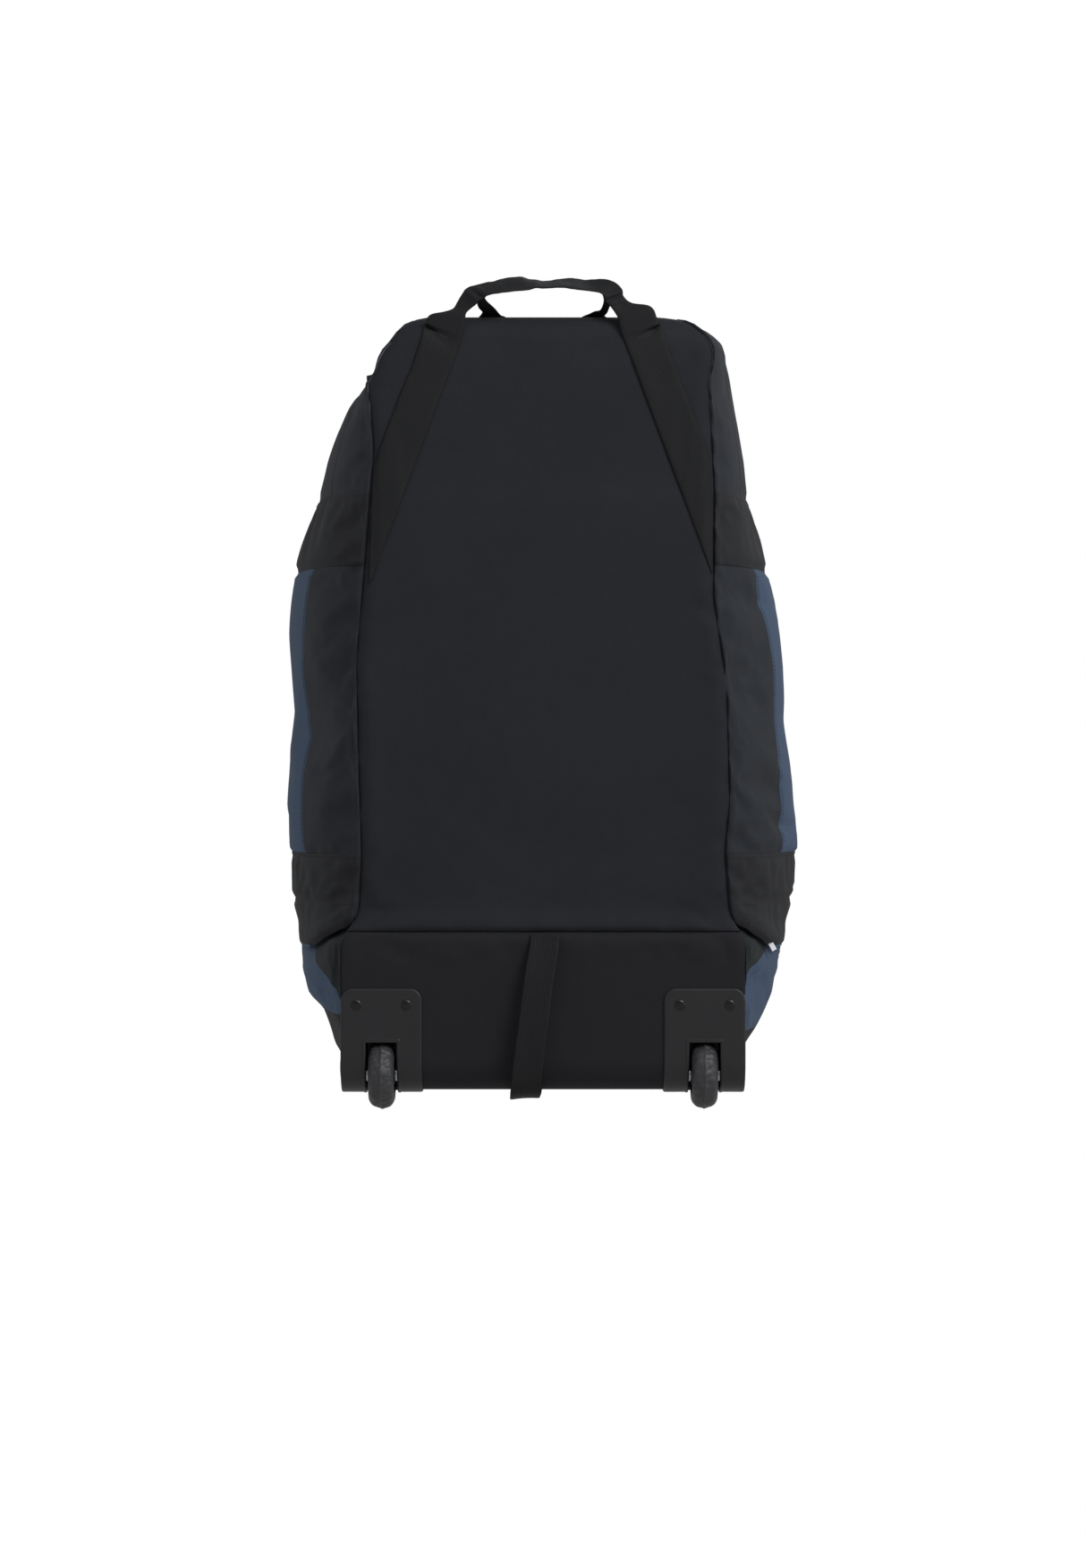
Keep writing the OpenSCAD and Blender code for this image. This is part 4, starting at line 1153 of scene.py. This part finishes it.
# The handle's webbing from the left strap over the grip to the right strap: the edge that starts
# outermost and runs along the grip's top, and the edge that starts inside and runs below it.
grip_outer = [(-114.8, 8.4, 774.7), (-114, 7.6, 780.5), (-109, 7, 784.2), (-98, 7.5, 786.3),
              (-89, 9, 789.5), (-85, 11, 796), (-80, 12, 804.5), (-73.5, 14, 811.5),
              (-59, 24, 816.5), (-43, 33, 822), (-25, 36, 825.5), (-12, 37, 823), (-1, 37, 821.8),
              (13, 37, 822.6), (26, 36, 823.8), (39, 35, 822.6), (51, 30, 821.6), (63, 22, 820.2),
              (72, 15, 815.8), (78, 11, 808.5), (80, 9.5, 801), (88, 8.5, 795), (103, 7.6, 792.8),
              (109, 7.3, 788.5), (112, 7.8, 781), (114.8, 8.4, 774.7)]
grip_inner = [(-79.2, 8.4, 761.3), (-77.6, 7.8, 771), (-76.6, 7.4, 779), (-75.5, 7.2, 785),
              (-71, 7, 789.5), (-66, 6, 793), (-62.5, 5, 797), (-58, 4, 800.2), (-50, 3, 802.2),
              (-37, 2, 804.7), (-18, 2, 807.2), (-6, 3, 808.8), (2, 3, 809.2), (16, 3, 809),
              (30, 2.5, 808), (43, 3, 806.6), (52, 4, 805.3), (57.5, 5, 803.5), (60.5, 6, 799.5),
              (62.5, 7, 795.5), (66.5, 7.3, 791.2), (70.5, 7.4, 785.8), (73.8, 7.6, 780),
              (75.5, 7.8, 773), (77, 8.1, 767), (79.2, 8.4, 761.3)]
leg_edges = {
    -1: ([(-66, 12, 805), (-66, 19, 799), (-64, 30, 794), (-60.5, 38, 791), (-62, 48, 789),
          (-64.5, 59, 788), (-65, 70, 787), (-65, 88, 786.7), (-65, 106, 786.7)],
         [(-56, 13, 807), (-57, 21, 801), (-48, 34, 793.7), (-42, 48, 788.6), (-38, 56, 788.2),
          (-36, 64, 787.8), (-35, 74, 787), (-35, 90, 786.7), (-35, 106, 786.7)]),
    1: ([(58, 13, 806), (60, 19, 798.8), (57, 34, 792.4), (51, 42, 791.8), (45.5, 47, 790),
         (40, 56, 789), (35.5, 70, 787.2), (35, 88, 786.7), (35, 106, 786.7)],
        [(68, 12, 804), (67, 20, 796.5), (64, 35, 789.8), (61.5, 43, 788), (62, 50, 787.8),
         (64, 59, 787.8), (65, 72, 787), (65, 89, 786.7), (65, 106, 786.7)]),
}
loop_path = [(1, -7.5, 160), (-4, -15, 130), (-9, -20.5, 90), (-14, -21.8, 52), (-17, -17, 24),
             (-18, 2, 13.2), (-17, 28, 12.2), (-16, 50, 13.2)]
loop_top = [(2, -1.4, 172), (1.5, -3.4, 167)]
loop_end = [(-15.8, 60, 14.3), (-15, 74, 15.2), (-15, 92, 16.4), (-15, 108, 16.6)]


def strap_run(side, rows=30):
    """The flat strap's two edges on the base, clipped where it runs under the side seam."""
    low, high = np.array(strap_low[side], float), np.array(strap_high[side], float)
    run = unit(high - low)
    square = np.array([run[1], -run[0]]) * WEB_W / 2
    found = []
    for k in (-1, 1):
        beyond, last = low + square * k - run * 30, high + square * k
        inside = last
        for _ in range(30):
            middle = (beyond + inside) / 2
            if abs(middle[0]) > float(eased(np.array(middle[1]), SEAM[side])) - 1.5:
                beyond = middle
            else:
                inside = middle
        edge = np.array([inside + (last - inside) * s for s in np.linspace(0, 1, rows)[:-1]])
        c = (edge[:, 0] / eased(edge[:, 1], SEAM[side]) + 1) / 2
        onto = skin(c, edge[:, 1], -1.3)
        onto[:, 0] = edge[:, 0]
        found.append(onto)
    return found


left_run, right_run = strap_run(-1), strap_run(1)


def twist(p):
    """The creases where the webbing folds over into the grip."""
    x, z = p[..., 0], p[..., 2]
    off = 0
    for x0, z0, x1, z1 in ((-70, 807, -57, 799), (79, 804, 63, 797)):
        run = np.hypot(x1 - x0, z1 - z0)
        along = ((x - x0) * (x1 - x0) + (z - z0) * (z1 - z0)) / run
        away = ((x - x0) * (z1 - z0) - (z - z0) * (x1 - x0)) / run * np.sign(x1)
        near = hump(along, run / 2, run * 0.7)
        ridges = 1.6 * hump(away, 3.5, 2.6) - 2.2 * hump(away, 0, 1.7) + 0.9 * hump(away, -4, 3)
        off = off + near * ridges
    return off + 0.8 * lumps(x / 7, z / 9, 45) * smooth((z - 784) / 8)


first_edge = np.concatenate([left_run[0], curve(grip_outer, 6), right_run[1][::-1]])
second_edge = np.concatenate([left_run[1], curve(grip_inner, 6), right_run[0][::-1]])
handle = webbing("pull_webbing", first_edge, second_edge, columns=16, curl=0.2, seed=41, extra=twist)
bend(handle, "handle", (0, 12, 764), (0, 12, 790), "webbing", "base_strap_left", "base_strap_right",
     "pull_handle")

for side, tag in SIDES:
    a, b = (curve(e, 5) for e in leg_edges[side])
    leg = webbing("handle_leg_" + tag + "_webbing", a, b, columns=10, curl=0.1, seed=43 + side)
    bend(leg, "handle", (0, 60, 787), (0, 16, 787), "webbing", "handle_leg_" + tag, "handle_feet")

path = curve(loop_top + loop_path + loop_end, 5)
a, b = edges_of(path, np.tile((1, -0.12, 0.05), (len(path), 1)), LOOP_W)
loop = webbing("end_loop_webbing", a, b, columns=12, curl=0.9, seed=47)
chord = np.array((0, 28.3, 90.5))
outward = np.array((0, -0.924, -0.383))
bend(loop, "loop", chord, chord + outward * 8, "webbing", "end_loop", "end_loop_tabs")

CARRY_ENDS = (226, 573)
CARRY_REACH = (0.885, 0.83, 0.78, 0.73, 0.69)


def carry_handle(side):
    """Edge lines of a carry handle along the side, between its two sewn ends."""
    off = -8.5
    z0, z1 = CARRY_ENDS
    at = lambda q, z, t: skin(side_c(side, q), z, t)
    down = [at(q, z0 + 2 * k * k, off + (2 if k < 1 else 0)) for k, q in enumerate(CARRY_REACH)]
    run = [at(0.655, z, off) for z in np.linspace(z0 + 70, z1 - 70, 5)]
    up = [at(q, z1 - 2 * k * k, off + (2 if k < 1 else 0)) for k, q in enumerate(CARRY_REACH)][::-1]
    path = curve(down + run + up, 4)
    n = len(path)
    i = np.arange(n)
    s = np.minimum(1, np.minimum(i, n - 1 - i) / 18)
    across = np.stack([side * 0.28 * s, -0.96 * s, np.where(i < n / 2, -1, 1) * (1 - s)], -1)
    return edges_of(path, across, WEB_W * 0.7)


for side, tag in SIDES:
    a, b = carry_handle(side)
    carry = webbing("carry_" + tag + "_webbing", a, b, columns=10, curl=0.8, seed=53 + side)
    wear(carry, "carry_" + tag, "webbing", "carry_handle_" + tag)
    for k, z in enumerate(CARRY_ENDS):
        rows_v = np.linspace(z - 15, z + 15, 10)
        qs = np.linspace(0.895, 0.985, 12)
        qq, vv = np.meshgrid(qs, rows_v)
        lower = skin(side_c(side, qq), vv, -2.9)
        upper = skin(side_c(side, qq), vv, -4.6)
        patch = slab("carry_anchor_%s_%d" % (tag, k + 1), upper, lower,
                     np.stack([vv, qq * SIDE_SPAN], -1), [material["webbing"]])
        wear(patch, "bag", "webbing", "carry_anchors")

p = skin(side_c(1, 0.262), 164.0)
a = np.array([p + (-6.5 + 7 * k, -2.5 - 2 * k, 2 - 12 * k) for k in np.linspace(0, 1, 7)])
label = webbing("side_tab", a, a + [4.5, 3.0, 2.5], thick=0.8, columns=8, curl=0.3, seed=59,
                materials=[material["label_cloth"]])
wear(label, "bag", "label_cloth", "side_label")


# ---- Wheel housings ----

BEND_R = BOX_ROUND + 0.2
FACE_RUN = HOUSING_TOP - BODY_LOW - BOX_ROUND
ARC_RUN = (BEND_R + HOUSING_T / 2) * math.pi / 2
END_RUN = HOUSING_END - BOX_ROUND
PLATE = FACE_RUN + ARC_RUN + END_RUN


def bent(x, s, out):
    """A point of the housing's plate, s along it from its top edge and out from its inner face."""
    r = BEND_R + out
    a = np.clip((s - FACE_RUN) / ARC_RUN, 0, 1) * math.pi / 2
    before = np.minimum(s - FACE_RUN, 0)
    after = np.maximum(s - FACE_RUN - ARC_RUN, 0)
    y = BOX_ROUND - r * np.cos(a) + after
    z = BODY_LOW + BOX_ROUND - r * np.sin(a) - before
    return np.stack(np.broadcast_arrays(x, y, z), -1)


def housing(side, tag):
    """The L-shaped plate on the face and the end, with a raised rim round its slot."""
    corner, bevel = 12.0, 1.1
    slot_from = HOUSING_TOP - SLOT_TOP
    slot_to = FACE_RUN + ARC_RUN + (AXLE_Y + WHEEL_R + 2 - BOX_ROUND)
    rim = 3.0
    ends = [0, 0.3, 0.7, 1.5, 3, 5, 8, 12]
    s = np.unique(np.round(np.concatenate([
        ends, np.linspace(12, slot_from - rim, 8), [slot_from - rim + 0.6, slot_from - 0.6, slot_from],
        np.linspace(slot_from, slot_to, 36), [slot_to + 0.6, slot_to + rim - 0.6, slot_to + rim],
        np.linspace(slot_to + rim, PLATE - 12, 8), [PLATE - e for e in ends]]), 4))
    half = [0, 5, 10, SLOT_HALF, SLOT_HALF + 0.6, SLOT_HALF + rim - 0.6, SLOT_HALF + rim, 24, 30, 35,
            38, 39.3, 39.7, HOUSING_HALF]
    x = np.array([-h for h in half[:0:-1]] + half)
    xx, ss = np.meshgrid(x, s)
    d = np.minimum(np.minimum(ss, PLATE - ss), corner)
    wide = HOUSING_HALF - corner + np.sqrt(np.maximum(corner ** 2 - (corner - d) ** 2, 0))
    square = 24                     # columns nearer the middle than this stay straight
    drawn_in = square + (np.abs(xx) - square) * (wide - square) / (HOUSING_HALF - square)
    narrow = np.where(np.abs(xx) > square, drawn_in, np.abs(xx))
    xx = np.sign(xx) * np.minimum(narrow, np.maximum(wide, square))
    edge = np.minimum(np.minimum(ss, PLATE - ss), np.maximum(wide - np.abs(xx), 0))
    soft = bevel * (1 - np.sqrt(np.maximum(0, 1 - (1 - np.clip(edge / 2.0, 0, 1)) ** 2)))
    by_slot = np.maximum(np.abs(xx) - SLOT_HALF, np.maximum(slot_from - ss, ss - slot_to))
    raised = 0.6 * smooth((rim - by_slot) / 0.6) * (by_slot > -0.01)
    lip = raised - 0.35 * (np.abs(by_slot) < 0.01)
    ripple = 0.12 * lumps(xx / 16, ss / 16, 61 + side)
    outer = bent(side * WHEEL_X + xx, ss, HOUSING_T - soft + lip + ripple)
    inner = bent(side * WHEEL_X + xx, ss, 0.0)
    mid_x, mid_s = (xx[:-1, :-1] + xx[1:, 1:]) / 2, (ss[:-1, :-1] + ss[1:, 1:]) / 2
    keep = ~((np.abs(mid_x) < SLOT_HALF) & (mid_s > slot_from) & (mid_s < slot_to))
    plate = slab("housing_" + tag, outer, inner, np.stack([xx, ss], -1), [material["housing_plastic"]],
                 keep, sharp=32)
    wear(plate, "bag", "housing_plastic", "wheel_housing_" + tag)


def well(side, tag):
    """The wheel's enclosed well: a drum with two cheeks, open where the wheel comes out."""
    first = math.pi - math.acos(max(-1, min(1, AXLE_Y / WELL_R)))
    last = -math.asin((WHEEL_R - BODY_LOW) / WELL_R)
    sweep = np.linspace(first, last, 28)
    drum = [(AXLE_Y + WELL_R * math.cos(a), WHEEL_R + WELL_R * math.sin(a)) for a in sweep]
    lip = [(BOX_ROUND - BOX_ROUND * math.sin(a), BODY_LOW + BOX_ROUND - BOX_ROUND * math.cos(a))
           for a in np.linspace(0, math.pi / 2, 14)]
    bm = bmesh.new()
    sheets = [[bm.verts.new(place((side * WHEEL_X + x, y, z))) for y, z in drum + lip]
              for x in (-SLOT_HALF, SLOT_HALF)]
    for k in range(len(drum) - 1):
        bm.faces.new((sheets[0][k], sheets[0][k + 1], sheets[1][k + 1], sheets[1][k]))
    bm.faces.new(sheets[0])
    bm.faces.new(sheets[1][::-1])
    bmesh.ops.recalc_face_normals(bm, faces=bm.faces)
    mesh = bpy.data.meshes.new("well_" + tag)
    bm.to_mesh(mesh)
    bm.free()
    piece = bpy.data.objects.new("well_" + tag, mesh)
    bpy.context.scene.collection.objects.link(piece)
    mesh.materials.append(material["housing_plastic"])
    shell = piece.modifiers.new("wall", "SOLIDIFY")
    shell.thickness = 2.4 * MM
    shell.offset = 1.0
    shell.use_even_offset = True
    apply(piece)
    wear(piece, "bag", "housing_plastic", "wheel_housing_" + tag)


def apply(piece):
    """Makes a piece's modifiers its own mesh."""
    done = bpy.data.meshes.new_from_object(piece.evaluated_get(bpy.context.evaluated_depsgraph_get()))
    old = piece.data
    piece.modifiers.clear()
    piece.data = done
    done.name = old.name
    bpy.data.meshes.remove(old)


for side, tag in SIDES:
    housing(side, tag)
    well(side, tag)


def rivets():
    """Domed rivet heads on both flanges, and their bodies and washers inside the bag."""
    head = [(0.0, 1.6), (1.6, 1.55), (3.2, 1.3), (4.4, 0.9), (5.1, 0.45), (5.4, 0.0), (2.0, -0.2),
            (2.0, -7.6), (4.0, -7.6), (4.0, -8.8), (0.0, -8.8)]
    shape, cells = lathe(head, 28)
    points, faces = [], []
    for side in (-1, 1):
        for k in (-1, 1):
            x = side * WHEEL_X + k * RIVET_HALF
            front_face, end_face = -0.2 - HOUSING_T, BODY_LOW - 0.2 - HOUSING_T
            for q in (np.stack([shape[:, 0] + x, front_face - shape[:, 2], shape[:, 1] + RIVET_Z], -1),
                      np.stack([shape[:, 0] + x, shape[:, 1] + RIVET_Y, end_face - shape[:, 2]], -1)):
                faces += [[v + sum(map(len, points)) for v in f] for f in cells]
                points.append(q)
    piece = new_object("rivets", np.concatenate(points), faces, None, [material["rivet_paint"]])
    piece.data.set_sharp_from_angle(angle=math.radians(50))
    wear(piece, "bag", "rivet_paint", "housing_rivets")


rivets()


# ---- Wheels ----


def tyre(side, tag):
    """A crumpled tyre of two slopes that meet in a parting line, turned about the axle."""
    steps, across = 168, 34
    hs = WHEEL_HALF * np.sin(np.linspace(-1, 1, across + 1) * math.pi / 2)
    profile = [(WHEEL_R - 0.26 * abs(h) - 6.0 * (abs(h) / WHEEL_HALF) ** 6, h) for h in hs]
    bore = [(HUB_R + 2.4, WHEEL_HALF), (HUB_R + 0.3, WHEEL_HALF - 1.0), (HUB_R + 0.1, WHEEL_HALF - 3)]
    profile += bore + [(r, -h) for r, h in bore[::-1]]
    points, uv = [], []
    seed = Vector((side * 40, 7, 3))
    for i in range(steps):
        turn = i * 2 * math.pi / steps
        for j, (r, h) in enumerate(profile):
            u = Vector((math.cos(turn) * WHEEL_R, math.sin(turn) * WHEEL_R, h))
            if j <= across:
                near = noise.voronoi(Vector((u.x * 0.12, u.y * 0.12, u.z * 0.07)) + seed)[0]
                small = noise.voronoi(Vector((u.x * 0.24, u.y * 0.24, u.z * 0.13)) + seed)[0]
                facet = min(1, (near[1] - near[0]) * 2.6)
                chip = min(1, (small[1] - small[0]) * 2.2)
                tilt = noise.noise(Vector((near[2], near[0], i * 0.02)) + seed)
                sway = h + 0.9 * noise.noise(u * 0.08 + seed)
                line = 0.5 * math.exp(-((sway / 0.7) ** 2))
                edge = min(1, (WHEEL_HALF - abs(h)) / 3 + 0.15)
                r += (1.1 * facet + 0.35 * chip - 1.45 + 0.8 * tilt) * edge + 1.4 * line
                r = min(r, WHEEL_R + 0.1)
            points.append((side * WHEEL_X + h, AXLE_Y + r * math.cos(turn), WHEEL_R + r * math.sin(turn)))
            uv.append((h, turn * WHEEL_R))
    piece = new_object("tyre_" + tag, np.array(points), turned_faces(steps, len(profile), True),
                       np.array(uv), [material["tyre"]])
    piece.data.set_sharp_from_angle(angle=math.radians(38))
    wear(piece, "wheel_" + tag, "tyre", "wheel_tyre_" + tag)


for side, tag in SIDES:
    tyre(side, tag)


# ---- CAD pieces that stay, with their finishes ----

KEPT = {
    "zip_tape": ("seam_tape_left", "seam_tape_right"),
    "board": ("base_board", "end_board"),
    "steel": ("rivet_bar", "axle_left", "axle_right", "axle_nuts", "axle_spacers", "foot_screws",
              "wheel_bush_left", "wheel_bush_right"),
    "foot_plastic": ("stand_feet",),
    "hub_plastic": ("wheel_hub_left", "wheel_hub_right"),
    "zip_metal": ("zip_stops", "zip_slider", "zip_pull"),
}
BEVELS = {"zip_slider": 0.5, "zip_pull": 0.35, "axle_nuts": 0.4, "axle_spacers": 0.3, "zip_stops": 0.3,
          "wheel_hub_left": 0.4, "wheel_hub_right": 0.4, "stand_feet": 0.5, "foot_screws": 0.3,
          "base_board": 0.6, "end_board": 0.6, "rivet_bar": 0.3}
for finish, name in [(finish, name) for finish, names in KEPT.items() for name in names]:
    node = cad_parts[name]
    node.data.materials.clear()
    node.data.materials.append(material[finish])
    if name in BEVELS:
        bevel = node.modifiers.new("edge", "BEVEL")
        bevel.width = BEVELS[name] * MM
        bevel.segments = 2
        bevel.limit_method = "ANGLE"
        bevel.angle_limit = math.radians(40)


# ---- Stage, camera and light ----


def white_to_camera(owner, output, shader, strength, tint=None):
    """Plain white where the camera sees it, and a mild light of its own for the object."""
    owner.use_nodes = True
    tree = owner.node_tree
    tree.nodes.clear()
    out, mix, ray, mild, white = (tree.nodes.new("ShaderNode" + kind) for kind in
                                  (output, "MixShader", "LightPath", shader, shader))
    white.inputs["Strength"].default_value = 1.0
    mild.inputs["Strength"].default_value = strength
    if tint:
        white.inputs["Color"].default_value = (1, 1, 1, 1)
        mild.inputs["Color"].default_value = tint
    tree.links.new(ray.outputs["Is Camera Ray"], mix.inputs[0])
    tree.links.new(mild.outputs[0], mix.inputs[1])
    tree.links.new(white.outputs[0], mix.inputs[2])
    tree.links.new(mix.outputs[0], out.inputs[0])


floor_paint = bpy.data.materials.new("floor")
white_to_camera(floor_paint, "OutputMaterial", "Emission", 0.5)
floor_mesh = bpy.data.meshes.new("floor")
floor_mesh.from_pydata([(x, y, -0.0006) for x, y in ((-8, -8), (8, -8), (8, 8), (-8, 8))], [],
                       [(0, 1, 2, 3)])
floor_mesh.materials.append(floor_paint)
floor = bpy.data.objects.new("floor", floor_mesh)
bpy.context.scene.collection.objects.link(floor)
floor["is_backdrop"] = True

world = bpy.data.worlds.new("studio")
bpy.context.scene.world = world
white_to_camera(world, "OutputWorld", "Background", 0.34, (0.97, 0.98, 1.0, 1))


def soft_light(name, where, size, watts, tint=(1, 1, 1)):
    lamp = bpy.data.lights.new(name, "AREA")
    lamp.shape = "RECTANGLE"
    lamp.size, lamp.size_y = size
    lamp.energy = watts
    lamp.color = tint
    obj = bpy.data.objects.new(name, lamp)
    obj.location = where
    obj.rotation_mode = "QUATERNION"
    obj.rotation_quaternion = (Vector((0, 0, 0.42)) - Vector(where)).to_track_quat("-Z", "Y")
    bpy.context.scene.collection.objects.link(obj)


soft_light("key", (1.7, -2.1, 2.4), (1.4, 1.2), 62)
soft_light("top", (-0.1, -1.4, 2.6), (1.8, 0.8), 8)
soft_light("fill_right", (2.4, -1.2, 0.5), (0.9, 1.4), 9, (0.95, 0.98, 1.0))
soft_light("fill_left", (-2.6, -1.4, 0.9), (0.8, 1.8), 3, (0.95, 0.98, 1.0))
soft_light("rim_right", (2.4, 1.3, 0.9), (0.6, 2.0), 11, (0.95, 0.98, 1.0))
soft_light("rim_left", (-2.4, 1.3, 0.9), (0.6, 2.0), 13, (0.95, 0.98, 1.0))
soft_light("back", (0.8, 2.8, 2.2), (2.0, 1.4), 12)

camera = bpy.data.objects.new("camera", bpy.data.cameras.new("camera"))
camera.data.sensor_width = 36
camera.data.lens = 72.3
camera.location = (0, -3.236, 0.321)
camera.rotation_euler = (math.pi / 2, 0, 0)
camera.data.clip_end = 60
bpy.context.scene.collection.objects.link(camera)
bpy.context.scene.camera = camera
bpy.context.scene.view_settings.view_transform = "Standard"

bpy.context.view_layer.update()
low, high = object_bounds()
